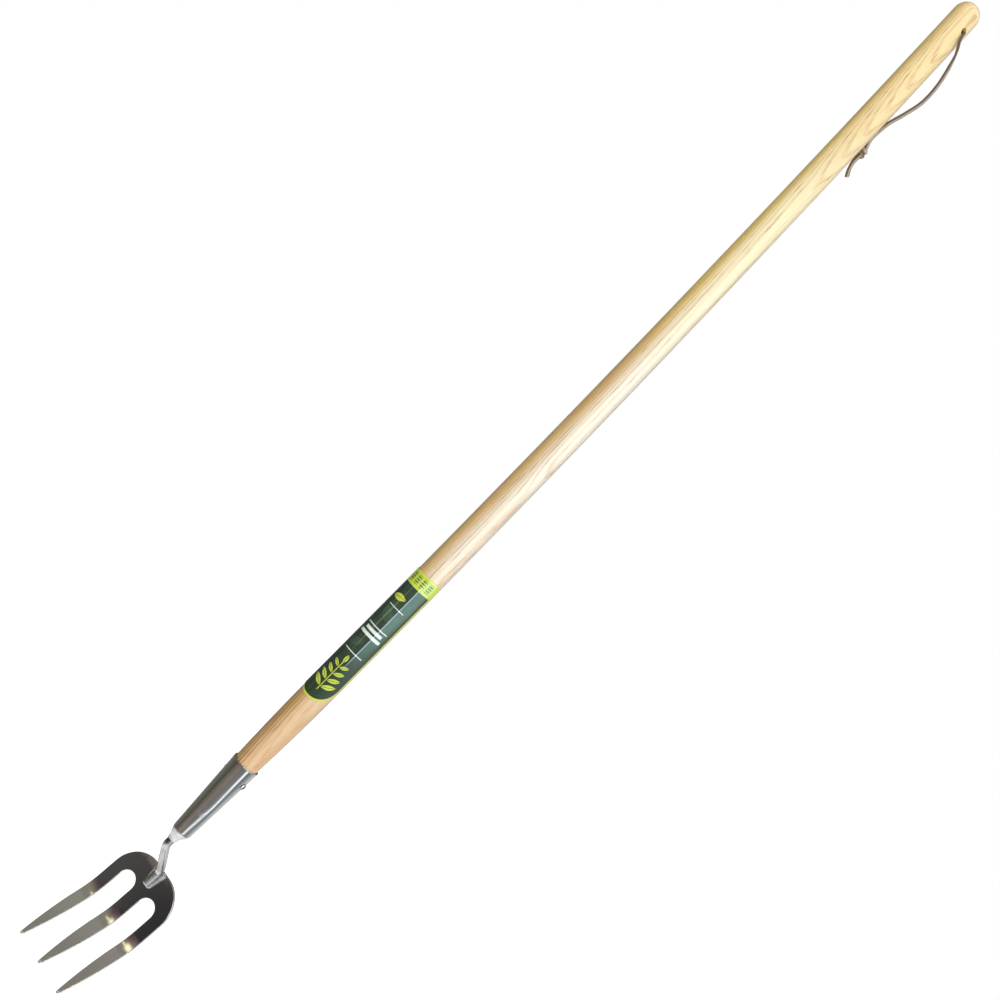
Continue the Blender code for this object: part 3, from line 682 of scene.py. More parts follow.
        # Painted shade: the right side near the head end is darkened to orange-brown.
        edge = broad * (7.0 * MM) + recipe.axes()[0]
        low = (thread * (40.0 * MM) + height).between(85.0 * MM, 50.0 * MM)
        right_side_shade = edge.between(13.5 * MM, 18.0 * MM) * low
        colour = (right_side_shade * 0.45).mix(colour, (0.66, 0.36, 0.16))
        return recipe.finish(fibre * 0.5 - pores * 0.7, 6e-5, 0.6, Base_Color=colour,
                             Roughness=fibre * 0.14 + 0.34, Coat_Weight=1.0, Coat_Roughness=0.24)


@dataclass(frozen=True)
class Leaf:
    """A plain pointed leaf printed on the label, with a bare rib along it; sizes in metres."""

    across: float
    up: float
    turn: float
    half_length: float
    half_width: float

    def mask(self, across: Value, up: Value) -> Value:
        """Returns the leaf's share of the ink at a place on the label."""
        right, rise = across - self.across, up - self.up
        cos, sin = math.cos(self.turn), math.sin(self.turn)
        along = right * cos + rise * sin
        off = abs(rise * cos + right * -sin)
        share = along / self.half_length
        wide = (1.0 - share * share) * self.half_width
        body = (wide - off).between(-0.05 * MM, 0.12 * MM)
        return body * off.between(0.12 * MM, 0.3 * MM)


@dataclass(frozen=True)
class Bar:
    """A plain printed rule across the label; sizes in metres."""

    across: float
    up: float
    half_length: float
    half_width: float

    def mask(self, across: Value, up: Value) -> Value:
        """Returns the rule's share of the ink at a place on the label."""
        right = abs(across - self.across)
        rise = abs(up - self.up)
        wide = right.between(self.half_length + 0.08 * MM, self.half_length - 0.08 * MM)
        return wide * rise.between(self.half_width + 0.08 * MM, self.half_width - 0.08 * MM)


@dataclass(frozen=True)
class PrintedFilm:
    """Glossy printed film: a dark green field, lightened towards the top by a painted sheen, with a sprig
    and rules, in a yellow-green border.
    """

    width: float
    length: float
    lower_corner: float
    border: float = 1.9 * MM
    band: float = 15.5 * MM
    field: Colour = (0.010, 0.034, 0.013)
    sheen: Colour = (0.016, 0.066, 0.034)
    lime: Colour = (0.60, 0.72, 0.055)
    mint: Colour = (0.86, 0.94, 0.88)

    def sprig(self) -> list[Leaf]:
        """Returns the leaves of the sprig, in pairs up their stem, with one at the top."""
        leaves = []
        for level in range(4):
            up, size = (15.0 + 8.2 * level) * MM, (7.4 - 0.8 * level) * MM
            for side in (-1, 1):
                lean = math.radians(90.0 - side * 60.0)
                leaves.append(Leaf(side * (size * 0.90 + 0.3 * MM) + 3.5 * MM, up + size * 0.52, lean, size,
                                   size * 0.34))
        leaves.append(Leaf(3.5 * MM, 50.0 * MM, math.radians(90.0), 4.8 * MM, 1.9 * MM))
        leaves.append(Leaf(-2.5 * MM, 126.0 * MM, math.radians(8.0), 8.0 * MM, 3.4 * MM))
        return leaves

    def ghosts(self) -> list[Leaf]:
        """Returns the faint leaves printed between the rules."""
        return [Leaf(-3.0 * MM, 68.0 * MM, math.radians(35.0), 8.5 * MM, 4.2 * MM),
                Leaf(1.0 * MM, 107.0 * MM, math.radians(140.0), 10.5 * MM, 5.0 * MM)]

    def rules(self) -> list[Bar]:
        """Returns the pale rules above the sprig."""
        rows = ((58.5, 11, 0.45), (80.5, 12.5, 1.6), (86, 10, 1.6), (90.8, 12.5, 0.5), (116, 9, 0.4))
        return [Bar(3.5 * MM, up * MM, reach * MM, half * MM) for up, reach, half in rows]

    def drawn(self, shapes: Sequence[Leaf | Bar], across: Value, up: Value) -> Value:
        """Returns the share of ink that some shapes lay at a place on the label."""
        first, *others = [shape.mask(across, up) for shape in shapes]
        return first.most(*others)

    def material(self) -> Material:
        """Returns the material, which reads the label's own UV map, in metres round and up the shaft."""
        recipe = Recipe("printed_film")
        across, up, _ = recipe.axes(recipe.node("ShaderNodeUVMap", uv_map="flat"))
        half = self.width / 2 - self.lower_corner
        dx = (abs(across) - half).most(0.0)
        dy = (self.lower_corner - up).most(0.0)
        edge = self.lower_corner - (dx * dx + dy * dy).math("SQRT")
        inside = edge.between(self.border - 0.08 * MM, self.border + 0.08 * MM)
        below = up.between(self.length - self.band + 0.1 * MM, self.length - self.band - 0.1 * MM)
        ink = inside * below
        mottle = recipe.noise(60.0, 3.0, 0.6)
        press = recipe.noise((900.0, 900.0, 225.0), 2.0, 0.6)
        tall = up.between(0.0, self.length * 0.75)
        # Painted sheen: the field lightens in a mottle towards the top.
        green = (tall * mottle.between(0.3, 0.75)).mix(self.field, self.sheen)
        green = press.between(0.55, 0.8, 0.0, 0.18).mix(green, (0.09, 0.16, 0.07))
        stem = Bar(3.5 * MM, 29.0 * MM, 0.4 * MM, 18.0 * MM)
        for shapes, share, tone in ((self.ghosts(), 0.22, (0.09, 0.22, 0.11)),
                                    ([*self.sprig(), stem], 0.92, self.lime),
                                    (self.rules(), 0.9, self.mint)):
            green = (self.drawn(shapes, across, up) * share).mix(green, tone)
        lime = press.between(0.4, 0.8, 0.0, 0.3).mix(self.lime, (0.42, 0.56, 0.06))
        marks = [Bar((7.2 * step - 8.0) * MM, self.length - 7.6 * MM, 2.5 * MM, 5.0 * MM)
                 for step in range(4)]
        gaps = (up / (2.6 * MM)).math("FRACT").between(0.3, 0.42)
        lime = (self.drawn(marks, across, up) * gaps * 0.85).mix(lime, (0.05, 0.13, 0.02))
        return recipe.finish(mottle + press * 0.1, 4e-5, 0.4, Base_Color=ink.mix(lime, green),
                             Roughness=press * 0.12 + 0.4, Specular_IOR_Level=0.2, Coat_Weight=1.0,
                             Coat_IOR=1.75, Coat_Roughness=0.05)


@dataclass(frozen=True)
class SuedeLace:
    """Split-leather lace: a fibrous buff flesh side and a darker brown grain side."""

    name: str
    rim: float = 1.05 * MM
    face: float = 0.6 * MM
    flesh: Colour = (0.58, 0.52, 0.42)
    grain: Colour = (0.115, 0.068, 0.038)

    def material(self) -> Material:
        """Returns the material, which reads the lace's own lie: across, through and along it, in metres."""
        recipe = Recipe(self.name)
        lie = recipe.attribute("lie")
        across, through, _ = recipe.axes(lie)
        nap = recipe.noise((2600.0, 2600.0, 910.0), 3.0, 0.7, lie)
        patch = recipe.noise(260.0, 2.0, 0.6, lie)
        flesh = nap.between(0.3, 0.75).mix(shaded(self.flesh, 0.62), self.flesh)
        flesh = patch.between(0.45, 0.8, 0.0, 0.4).mix(flesh, (0.2, 0.13, 0.085))
        grain = nap.between(0.35, 0.8).mix(self.grain, shaded(self.grain, 2.0))
        side = (patch - 0.5) * (0.6 * MM) + through
        inner = abs(across).between(self.rim, self.rim - 0.55 * MM)
        pale = side.between(self.face, self.face + 0.5 * MM) * inner
        return recipe.finish(nap + patch * 0.6, 1.2e-4, 0.8, Base_Color=pale.mix(grain, flesh),
                             Roughness=nap * 0.15 + 0.78, Sheen_Weight=0.25, Sheen_Roughness=0.5)


@dataclass(frozen=True)
class Card:
    """A soft-edged card on the surround: where it starts, is full, wanes and ends, in degrees and metres."""

    turns: tuple[float, float, float, float]
    heights: tuple[float, float, float, float]
    tone: Colour
    share: float = 1.0

    def laid(self, colour: Value, turn: Value, height: Value) -> Value:
        """Returns a colour with the card laid over it, at a direction in radians and a height."""
        a, b, c, d = (math.radians(degrees) for degrees in self.turns)
        low, full, last, high = self.heights
        mask = turn.between(a, b) * turn.between(d, c) * height.between(low, full)
        return (mask * height.between(high, last) * self.share).mix(colour, self.tone)


@dataclass
class Studio:
    """The camera, the pale floor, the soft lamps and the surround that polished steel mirrors."""

    lens: float = 43.2
    place: Triple = (0.50106, -1.01515, 0.34476)
    right: Triple = (0.644287, 0.318814, 0.695163)
    up: Triple = (-0.623056, -0.308308, 0.718852)
    back: Triple = (0.443505, -0.896272, 0.0)
    floor_height: float = -0.52
    floor_size: float = 14.0
    surround_radius: float = 0.7
    surround_top: float = 2.3
    ambient: float = 0.50
    tool_middle: float = 0.4

    def build(self) -> None:
        """Lays the floor, stands the surround and lights both."""
        self.floor()
        self.surround()
        self.light()

    def aim(self) -> None:
        """Makes the camera."""
        data = bpy.data.cameras.new("camera")
        data.lens, data.sensor_width = self.lens, 36.0
        data.clip_start, data.clip_end = 0.01, 100.0
        camera = bpy.data.objects.new("camera", data)
        bpy.context.scene.collection.objects.link(camera)
        view = Matrix((self.right, self.up, self.back)).transposed().to_4x4()
        camera.matrix_world = Matrix.Translation(self.place) @ view
        bpy.context.scene.camera = camera

    def light(self) -> None:
        """Makes the world's soft light, white to what looks or mirrors, and the lamps."""
        recipe = Recipe("studio", world=True)
        bpy.context.scene.world = recipe.owner
        recipe.set(Color=(1.0, 1.0, 1.0), Strength=recipe.seen().between(0.0, 1.0, self.ambient))
        self.lamp("key_lamp", 46.0, 12.0, 3.4, 1.4, 68.0)
        self.lamp("top_lamp", 20.0, 68.0, 2.6, 1.6, 5.0)
        self.lamp("back_lamp", 233.0, 12.0, 3.4, 1.6, 26.0)

    def lamp(self, name: str, azimuth: float, elevation: float, distance: float, size: float,
             watts: float) -> None:
        """Adds a soft square lamp.

        Args:
            name: The lamp's name.
            azimuth: Its direction in degrees, from the front towards the right.
            elevation: Its height in degrees.
            distance: How far it stands from the tool's middle.
            size: The length of its sides.
            watts: Its power.
        """
        data = bpy.data.lights.new(name, "AREA")
        data.energy, data.size = watts, size
        lamp = bpy.data.objects.new(name, data)
        bpy.context.scene.collection.objects.link(lamp)
        turn, rise = math.radians(azimuth), math.radians(elevation)
        away = Vector((math.sin(turn) * math.cos(rise), -math.cos(turn) * math.cos(rise), math.sin(rise)))
        lamp.location = Vector((0.0, 0.0, self.tool_middle)) + away * distance
        lamp.rotation_euler = away.to_track_quat("Z", "Y").to_euler()
        lamp.visible_glossy = False

    def floor(self) -> None:
        """Lays the pale floor, which keeps the tool's shadow."""
        bm = bmesh.new()
        bmesh.ops.create_grid(bm, x_segments=1, y_segments=1, size=self.floor_size / 2)
        bmesh.ops.translate(bm, verts=bm.verts, vec=(0.0, 0.0, self.floor_height))
        recipe = Recipe("pale_floor")
        grit = recipe.noise(6.0, 2.0)
        recipe.set(Base_Color=grit.mix((0.80, 0.80, 0.80), (0.84, 0.84, 0.84)), Roughness=0.9,
                   Specular_IOR_Level=0.0, Emission_Color=(1.0, 1.0, 1.0),
                   Emission_Strength=recipe.seen() * 0.60)
        self.staged("floor", bm, recipe)

    def surround(self) -> None:
        """Stands the drum of dark and light cards round the tool, which only mirrored light meets."""
        bm = bmesh.new()
        radius = self.surround_radius
        Pen(bm, (radius, self.floor_height + 0.01)).line((radius, self.surround_top))
        turn_mesh(bm, math.pi / 2, "X")
        lathe(bm, UP, 96)
        recipe = Recipe("surround_cards")
        x, y, z = recipe.axes()
        way = x.math("ARCTAN2", y * -1.0)
        colour = z.between(-0.243, -0.213).mix(self.low(recipe, way), self.high(recipe, way, z))
        for card in (Card((105.0, 138.0, 178.0, 179.9), (-0.19, -0.10, 1.2, 1.6), (0.40, 0.40, 0.40), 0.85),
                     Card((-24.5, -20.0, -17.3, -12.3), (0.005, 0.092, 0.122, 0.208), (1.9, 1.75, 1.15)),
                     Card((-28.5, -25.5, -24.0, -21.0), (0.075, 0.105, 0.115, 0.15), (1.6, 1.5, 1.1), 0.75)):
            colour = card.laid(colour, way, z)
        colour = self.streak(recipe, way, z, colour)
        for card in (Card((32.0, 56.0, 100.0, 126.0), (-0.06, 0.36, 0.66, 1.02), (3.1, 3.2, 3.3)),
                     Card((33.0, 38.0, 64.0, 118.0), (-0.02, 0.09, 0.175, 0.205), (1.7, 2.6, 2.65)),
                     Card((28.5, 31.0, 36.5, 39.0), (-0.005, 0.025, 0.17, 0.188), (5.0, 6.0, 6.4)),
                     Card((30.5, 32.5, 34.5, 36.5), (-0.185, -0.16, -0.09, -0.06), (2.5, 2.5, 2.8))):
            colour = card.laid(colour, way, z)
        recipe.feed(recipe.tree.nodes["Material Output"].inputs[0],
                    recipe.node("ShaderNodeEmission", {0: colour, 1: 1.0}))
        drum = self.staged("surround", bm, recipe)
        drum.visible_camera = drum.visible_diffuse = drum.visible_shadow = False
        drum.visible_transmission = drum.visible_volume_scatter = False

    def spread(self, recipe: Recipe, way: Value, *stops: tuple[float, Colour]) -> Value:
        """Reads a colour from a ramp round the surround, whose stops are in degrees."""
        return recipe.ramp(way * (1 / math.tau) + 0.5,
                           *((degrees / 360.0 + 0.5, colour) for degrees, colour in stops))

    def low(self, recipe: Recipe, way: Value) -> Value:
        """Returns the colours round the surround's foot, which the head mirrors."""
        return self.spread(
            recipe, way, (-176, (0.10, 0.10, 0.10)), (-136, (0.12, 0.12, 0.12)), (-118, (0.34, 0.34, 0.33)),
            (-100, (0.235, 0.24, 0.215)), (-71, (0.20, 0.195, 0.165)), (-40, (0.125, 0.120, 0.09)),
            (-15, (0.265, 0.225, 0.20)), (9, (0.33, 0.295, 0.265)), (34, (0.27, 0.25, 0.235)),
            (96, (0.36, 0.41, 0.45)), (123, (0.5, 0.54, 0.54)), (155, (0.85, 0.85, 0.84)),
            (178, (0.9, 0.9, 0.9)))

    def high(self, recipe: Recipe, way: Value, height: Value) -> Value:
        """Returns the colours above the foot: a dim round, and a column of browns in front of the tool."""
        side = self.spread(
            recipe, way, (-170, (0.12, 0.12, 0.12)), (-120, (0.16, 0.16, 0.155)), (-60, (0.12, 0.12, 0.115)),
            (-35, (0.108, 0.106, 0.104)), (-27.5, (0.094, 0.093, 0.092)), (-20.5, (0.044, 0.044, 0.045)),
            (15, (0.05, 0.05, 0.05)), (45, (0.35, 0.35, 0.35)), (120, (0.6, 0.62, 0.62)),
            (165, (0.9, 0.9, 0.9)))
        rise = abs(way + math.radians(25.0)) * 0.55 + height + 0.14
        column = recipe.ramp(
            rise.math("DIVIDE", 0.5, clamp=True), (0, (0.080, 0.072, 0.076)), (0.12, (0.108, 0.078, 0.088)),
            (0.25, (0.175, 0.120, 0.130)), (0.36, (0.27, 0.215, 0.185)), (0.50, (0.35, 0.315, 0.25)),
            (0.70, (0.335, 0.315, 0.265)), (0.86, (0.315, 0.30, 0.275)), (1.0, (0.38, 0.36, 0.33)))
        warmer = way.between(math.radians(-33.0), math.radians(-21.0))
        column = warmer.mix(column.tinted((0.98, 1.02, 0.98)), column.tinted((1.05, 0.99, 1.0)))
        near = way.between(math.radians(-75.0), math.radians(-45.0))
        near = near * way.between(math.radians(40.0), math.radians(5.0)) * height.between(-0.15, -0.11)
        return near.mix(side, column)

    def streak(self, recipe: Recipe, way: Value, height: Value, colour: Value) -> Value:
        """Lays mist, a dark blue card and a pale streak, which lean and sway, over the surround's foot."""
        dusk = (height.between(-0.47, -0.355, math.radians(57.0), math.radians(87.0))
                + height.between(-0.355, -0.32, 0.0, math.radians(-10.0)))
        sway = (recipe.noise(23.0, 1.0, source=recipe.joined(z=height)) - 0.5) * math.radians(12.0)
        lean = way - (dusk + sway)
        mist = recipe.noise((9.0, 9.0, 26.0), 2.0, 0.6)
        foot = height.between(-0.21, -0.25)
        colour = (foot * mist.between(0.46, 0.30)).mix(colour, colour.tinted((1.12, 0.98, 1.0)))
        colour = (foot * mist.between(0.52, 0.68)).mix(colour, colour.tinted((0.66, 0.75, 0.74)))
        navy = Card((8.0, 15.0, 20.0, 50.0), (-0.6, -0.5, -0.25, -0.21), (0.13, 0.155, 0.21), 0.55)
        pale = abs(lean).between(math.radians(14.0), math.radians(3.0)) * foot
        return pale.mix(navy.laid(colour, lean, height), (1.62, 1.72, 1.82))

    def staged(self, name: str, bm: BMesh, recipe: Recipe) -> Object:
        """Turns a bmesh into a stage object with a recipe's material and returns it."""
        obj = added(name, bm)
        obj.data.materials.append(recipe.owner)
        return obj


@dataclass
class Thong:
    """The flat leather lace: through the cross hole, down to a knot, and two short tails."""

    middle: Triple = (-0.002081, -0.001028, 0.9599)
    hole_axis: Triple = (0.9205049, -0.3907311, 0.0)
    width: float = 3.7 * MM
    thickness: float = 2.3 * MM
    corner: float = 0.5 * MM
    lean: float = math.radians(-49.0)
    squeeze: float = 0.84
    knot_centre: Triple = (0.0, 24.6, -136.4)
    knot_half: Triple = (4.25, 3.05, 4.3)
    knot_turns: float = 2.15
    knot_start: float = math.radians(200.0)
    knot_strap: Triple = (3.3 * MM, 1.9 * MM, 0.6 * MM)
    mouth: float = 13.3
    strand: tuple[Triple, ...] = (
        (0, 0, 0), (4, 0, 0), (8.2, 0, 0), (12.2, 0, 0), (13.3, 0, 0), (14.8, 0, -0.4), (15.7, 0, -1.6),
        (16, 0.1, -3.4), (16.3, 0.3, -6), (17.3, 1.1, -9.8), (19, 3, -14.2), (20.4, 5.3, -19.2),
        (21.3, 7.5, -24.8), (21.9, 9.4, -30.8), (22.3, 11.4, -37), (22.5, 13.3, -43.5), (22.5, 15, -50.5),
        (22.3, 16.2, -58), (21.8, 16.9, -66), (20.9, 16.7, -75), (18, 15.8, -85.4), (14.3, 15.8, -93.2),
        (10.7, 16.1, -98.8), (7.6, 16.6, -104.4), (5.6, 17.2, -111), (3.9, 17.9, -117.5),
        (2.7, 19.1, -123.2), (2.3, 20.9, -127), (2.2, 22.7, -130.1))
    front_end: tuple[Triple, ...] = (
        (1.9, 23.4, -134.2), (1.9, 23.8, -138.8), (2.2, 23.8, -143), (2.3, 23.5, -147.5), (2.6, 24.1, -152),
        (3, 25.3, -156), (3.5, 27, -159.5), (4, 29.3, -162.7))
    back_end: tuple[Triple, ...] = (
        (-1.9, 23.9, -134.2), (-1.9, 25.2, -138.6), (-2.2, 26.1, -142.8), (-2.2, 27.2, -146.8),
        (-1.7, 27.9, -150.3), (-0.8, 28.9, -153.9), (0, 30.3, -157), (0.6, 31.9, -159.3))

    def frame(self) -> Matrix:
        """Returns the turn and place of the lace's own axes: X out along the hole, Y back, Z up."""
        out = Vector(self.hole_axis)
        up = Vector((0.0, 0.0, 1.0))
        turn = Matrix((out, up.cross(out), up)).transposed().to_4x4()
        return Matrix.Translation(self.middle) @ turn

    def placed(self, route: Sequence[Triple]) -> list[Vector]:
        """Puts a route, given in millimetres in the lace's axes, in its place."""
        return [self.frame() @ (Vector(point) * MM) for point in route]

    def build(self) -> None:
        finish = SuedeLace("suede_lace").material()
        knot = self.knot(SuedeLace("suede_knot", 1.6 * MM, 0.1 * MM).material())
        back = [(-x, y, z) for x, y, z in self.strand]
        self.half("lace_front", [*self.strand, *self.front_end], finish, knot,
                  ("thong_front_strand", "thong_hole_run", "thong_tail_right"))
        self.half("lace_back", [*back, *self.back_end], finish, knot,
                  ("thong_back_strand", "thong_tail_left"))

    def half(self, name: str, route: Sequence[Triple], finish: Material,
             knot: Object, nodes: Sequence[str]) -> None:
        """Makes one half of the lace, from the hole's middle to the end of its tail.

        Args:
            name: The piece's name.
            route: The points that it follows, in millimetres.
            finish: Its material.
            knot: The knot on it; not used.
            nodes: The solids that it stands for.
        """
        path = smooth_path(self.placed(route), 4)
        bm = bmesh.new()
        strap_ring(bm, self.width, self.thickness, self.corner)
        sweep(bm, path, self.frame().to_3x3() @ Vector((0.0, 1.0, 0.0)), girth=self.pinch, twist=self.roll)
        obj = piece(name, bm, finish, nodes, 60.0, Body.THONG)
        mouth = self.placed([(math.copysign(self.mouth, route[5][0]), 0.0, 0.0)])[0]
        path_length(path)

    def roll(self, share: float) -> float:
        """Returns the lace's turn about itself at a share of its half: most where it leaves the hole."""
        start, end = risen(share, 0.02, 0.05), risen(share, 0.14, 0.16)
        return self.lean * start * (1.0 - end * end * (3.0 - 2.0 * end))

    def pinch(self, share: float) -> float:
        """Returns the lace's size at a share of its half: a little squeezed in the hole."""
        return self.squeeze + (1.0 - self.squeeze) * risen(share, 0.06, 0.08)

    def knot(self, finish: Material) -> Object:
        """Winds the lace round itself as the knot and returns the piece."""
        steps = int(self.knot_turns * 20)
        coil = []
        for i in range(steps + 1):
            share = i / steps
            angle = math.tau * self.knot_turns * share + self.knot_start
            swell = 0.86 + 0.14 * math.sin(math.pi * share) + 0.03 * math.sin(7.0 * angle / 3.0)
            wide, deep, tall = self.knot_half
            coil.append(Vector((wide * swell * math.cos(angle), deep * swell * math.sin(angle),
                                tall * (1 - 2 * share))))
        middle = Vector(self.knot_centre)
        bm = bmesh.new()
        strap_ring(bm, *self.knot_strap)
        sweep(bm, self.placed([point + middle for point in coil]), Vector((0.0, 0.0, 1.0)))
        return piece("lace_knot", bm, finish, ("thong_knot",), 60.0, Body.THONG)


@dataclass
class HandleShaft:
    """The bowed ash shaft, its cross hole and its wrap-around label."""

    top: float = 990.5 * MM
    swell: float = 15.0 * MM
    swell_height: float = 90.0 * MM
    butt: float = 13.4 * MM
    bow: float = 5.1 * MM
    set_back: float = 3.0 * MM
    bow_turn: float = math.radians(26.3)
    tenon_length: float = 74.0 * MM
    mouth: float = MOUTH
    taper: float = 4.7 / 87.3
    wall: float = 1.5 * MM
    hole_drop: float = 29.5 * MM
    hole_radius: float = 3.2 * MM
    hole_turn: float = math.radians(-23.0)
    label_bottom: float = 88.8 * MM
    label_length: float = 157.4 * MM
    label_width: float = 47.2 * MM
    label_turn: float = math.radians(1.0)
    label_thickness: float = 0.25 * MM
    label_corner: float = 23.0 * MM
    label_top_corner: float = 3.0 * MM
    end_bevel: float = 0.6 * MM
    rim: float = 0.7 * MM
    drill_reach: float = 20.0 * MM
    sides: int = 96

    def radius(self, height: float) -> float:
        """Returns the shaft's radius at a height."""
        tenon = self.mouth + self.taper * min(height, 0.0) - self.wall
        if height <= 0.0:
            return tenon
        if height < self.swell_height:
            return tenon + (self.swell - tenon) * math.sin(math.pi / 2 * height / self.swell_height)
        share = (height - self.swell_height) / (self.top - self.butt - self.swell_height)
        return self.swell + (self.butt - self.swell) * share

    def middle(self, height: float) -> Vector:
        """Returns the middle of the bowed shaft at a height."""
        share = max(height, 0.0) / self.top
        offset = 4 * self.bow * share * (1 - share) - self.set_back * share
        return Vector((offset * math.cos(self.bow_turn), offset * math.sin(self.bow_turn), height))

    def build(self) -> None:
        """Makes the shaft and the label."""
        self.shaft()
        self.label()

    def shaft(self) -> None:
        """Turns the shaft, bows it and drills its cross hole."""
        bm = bmesh.new()
        shoulder, low = self.top - self.butt, -self.tenon_length
        base, bevel = self.radius(low), self.end_bevel
        pen = Pen(bm, (0.0, low)).line((base - bevel, low), (base, low + bevel))
        heights = [self.swell_height * step / 12 for step in range(13)]
        heights += [self.swell_height + (shoulder - self.swell_height) * step / 40 for step in range(1, 41)]
        pen.line(*((self.radius(height), height) for height in heights))
        pen.arc((0.0, shoulder), 90.0, 14)
        turn_mesh(bm, math.pi / 2, "X")
        lathe(bm, UP, self.sides)
        for vert in bm.verts:
            vert.co += self.middle(vert.co.z) - Vector((0.0, 0.0, vert.co.z))
        obj = piece("ash_shaft", bm, LacqueredAsh(self).material(), ("handle_shaft",))
        drill = self.drill()
        cut = obj.modifiers.new("cross_hole", "BOOLEAN")
        cut.operation, cut.object = "DIFFERENCE", drill
        bpy.context.view_layer.update()
        drilled = bpy.data.meshes.new_from_object(obj.evaluated_get(bpy.context.evaluated_depsgraph_get()))
        obj.modifiers.clear()
        obj.data = drilled
        obj.data.shade_smooth()
        obj.data.set_sharp_from_angle(angle=math.radians(SHARP))
        bpy.data.objects.remove(drill, do_unlink=True)

    def drill(self) -> Object:
        """Returns the drill for the cross hole, which flares at both rims."""
        skin = self.radius(self.top - self.hole_drop)
        bm = bmesh.new()
        hole, rim, reach = self.hole_radius, self.rim, self.drill_reach
        Pen(bm, (hole, 0.0)).line((hole, skin - rim * 1.4), (hole + rim * 0.25, skin - rim * 0.6),
                                  (hole + rim, skin + rim * 0.5), (hole + rim, reach), (0.0, reach))
        mirror(bm, "Y")
        lathe(bm, BACKWARD, 40)
        turn_mesh(bm, self.hole_turn - math.pi / 2, "Z")
        bmesh.ops.translate(bm, verts=bm.verts, vec=self.middle(self.top - self.hole_drop))
        return added("drill", bm)

    def label(self) -> None:
        """Draws the label flat, keeps its flat coordinates as a UV map, and wraps it round the shaft."""
        half, low, high = self.label_width / 2, self.label_corner, self.label_top_corner
        bm = bmesh.new()
        pen = Pen(bm, (0.0, 0.0)).line((half - low, 0.0)).arc((half - low, low), 90.0, 16)
        pen.line((half, self.label_length - high)).arc((half - high, self.label_length - high), 90.0, 6)
        pen.line((0.0, self.label_length))
        mirror(bm, "X")
        bmesh.ops.contextual_create(bm, geom=bm.edges[:])
        outward(bm)
        thicken(bm, self.label_thickness)
        for step in range(-23, 24):
            slice_mesh(bm, (step * MM, 0.0, 0.0), RIGHT)
        for step in range(1, 32):
            slice_mesh(bm, (0.0, self.label_length * step / 32, 0.0), BACKWARD)
        flat = bm.loops.layers.uv.new("flat")
        for face in bm.faces:
            for loop in face.loops:
                loop[flat].uv = loop.vert.co.xy
        for vert in bm.verts:
            height = self.label_bottom + vert.co.y
            angle = self.label_turn + vert.co.x / self.swell
            out = self.radius(height) + CLEARANCE + vert.co.z
            vert.co = self.middle(height) + Vector((out * math.sin(angle), -out * math.cos(angle), 0.0))
        outward(bm)
        film = PrintedFilm(self.label_width, self.label_length, self.label_corner)
        piece("label_film", bm, film.material(), ("wrap_label",))


@dataclass
class SocketCap:
    """The tapered, mirror-polished socket and its rivet."""

    length: float = SOCKET_LENGTH
    mouth: float = MOUTH
    end: float = 9.8 * MM
    wall: float = 1.2 * MM
    rivet_drop: float = 16.5 * MM
    rivet_radius: float = 2.9 * MM
    rivet_height: float = 1.9 * MM
    rivet_back: float = 0.5 * MM
    shank: float = 1.6 * MM

    def build(self) -> None:
        """Makes the socket and the rivet."""
        steel = PolishedSteel("socket_steel").material()
        bm = bmesh.new()
        inner, slope = self.end - self.wall, (self.mouth - self.end) / self.length
        pen = Pen(bm, (inner, -self.length)).line((self.end - 0.15 * MM, -self.length),
                                                  (self.end, -self.length + 0.2 * MM))
        for drop in (86.4, 85.0, 76.0, 66.0, 56.0, 46.0, 36.0, 26.0, 16.0, 6.0, 2.0, 0.8):
            pen.line((self.mouth - slope * drop * MM, -drop * MM))
        pen.line((self.mouth, -0.35 * MM), (self.mouth - 0.1 * MM, -0.1 * MM), (self.mouth - 0.3 * MM, 0.0),
                 (self.mouth - self.wall + 0.2 * MM, 0.0), (self.mouth - self.wall, -0.2 * MM),
                 (inner, -self.length))
        turn_mesh(bm, math.pi / 2, "X")
        lathe(bm, UP, 128)
        piece("socket_shell", bm, steel, ("socket",), 30.0)
        self.rivet()

    def rivet(self) -> None:
        """Makes the rivet: a shank across the tool, a domed head and a low peened end."""
        slope = (self.mouth - self.end) / self.length
        seat = self.mouth - self.rivet_drop * slope + self.rivet_radius * slope + CLEARANCE
        bm = bmesh.new()
        for side, height in ((1, self.rivet_height), (-1, self.rivet_back)):
            lip = height * 0.12
            pen = Pen(bm, (self.shank, 0.0)).line(
                (self.shank, side * seat), (self.rivet_radius - 0.2 * MM, side * seat),
                (self.rivet_radius, side * (seat + lip)))
            for step in range(1, 10):
                angle = math.pi / 2 * step / 10
                rise = lip + (height - lip) * math.sin(angle)
                pen.line((self.rivet_radius * math.cos(angle), side * (seat + rise)))
            pen.line((0.0, side * (seat + height)))
        weld(bm)
        lathe(bm, BACKWARD, 48)
        turn_mesh(bm, -math.pi / 2, "Z")
        bmesh.ops.translate(bm, verts=bm.verts, vec=(0.0, 0.0, -self.rivet_drop))
        piece("rivet", bm, RivetSteel(self.rivet_drop).material(), ("socket_rivet",), 50.0)


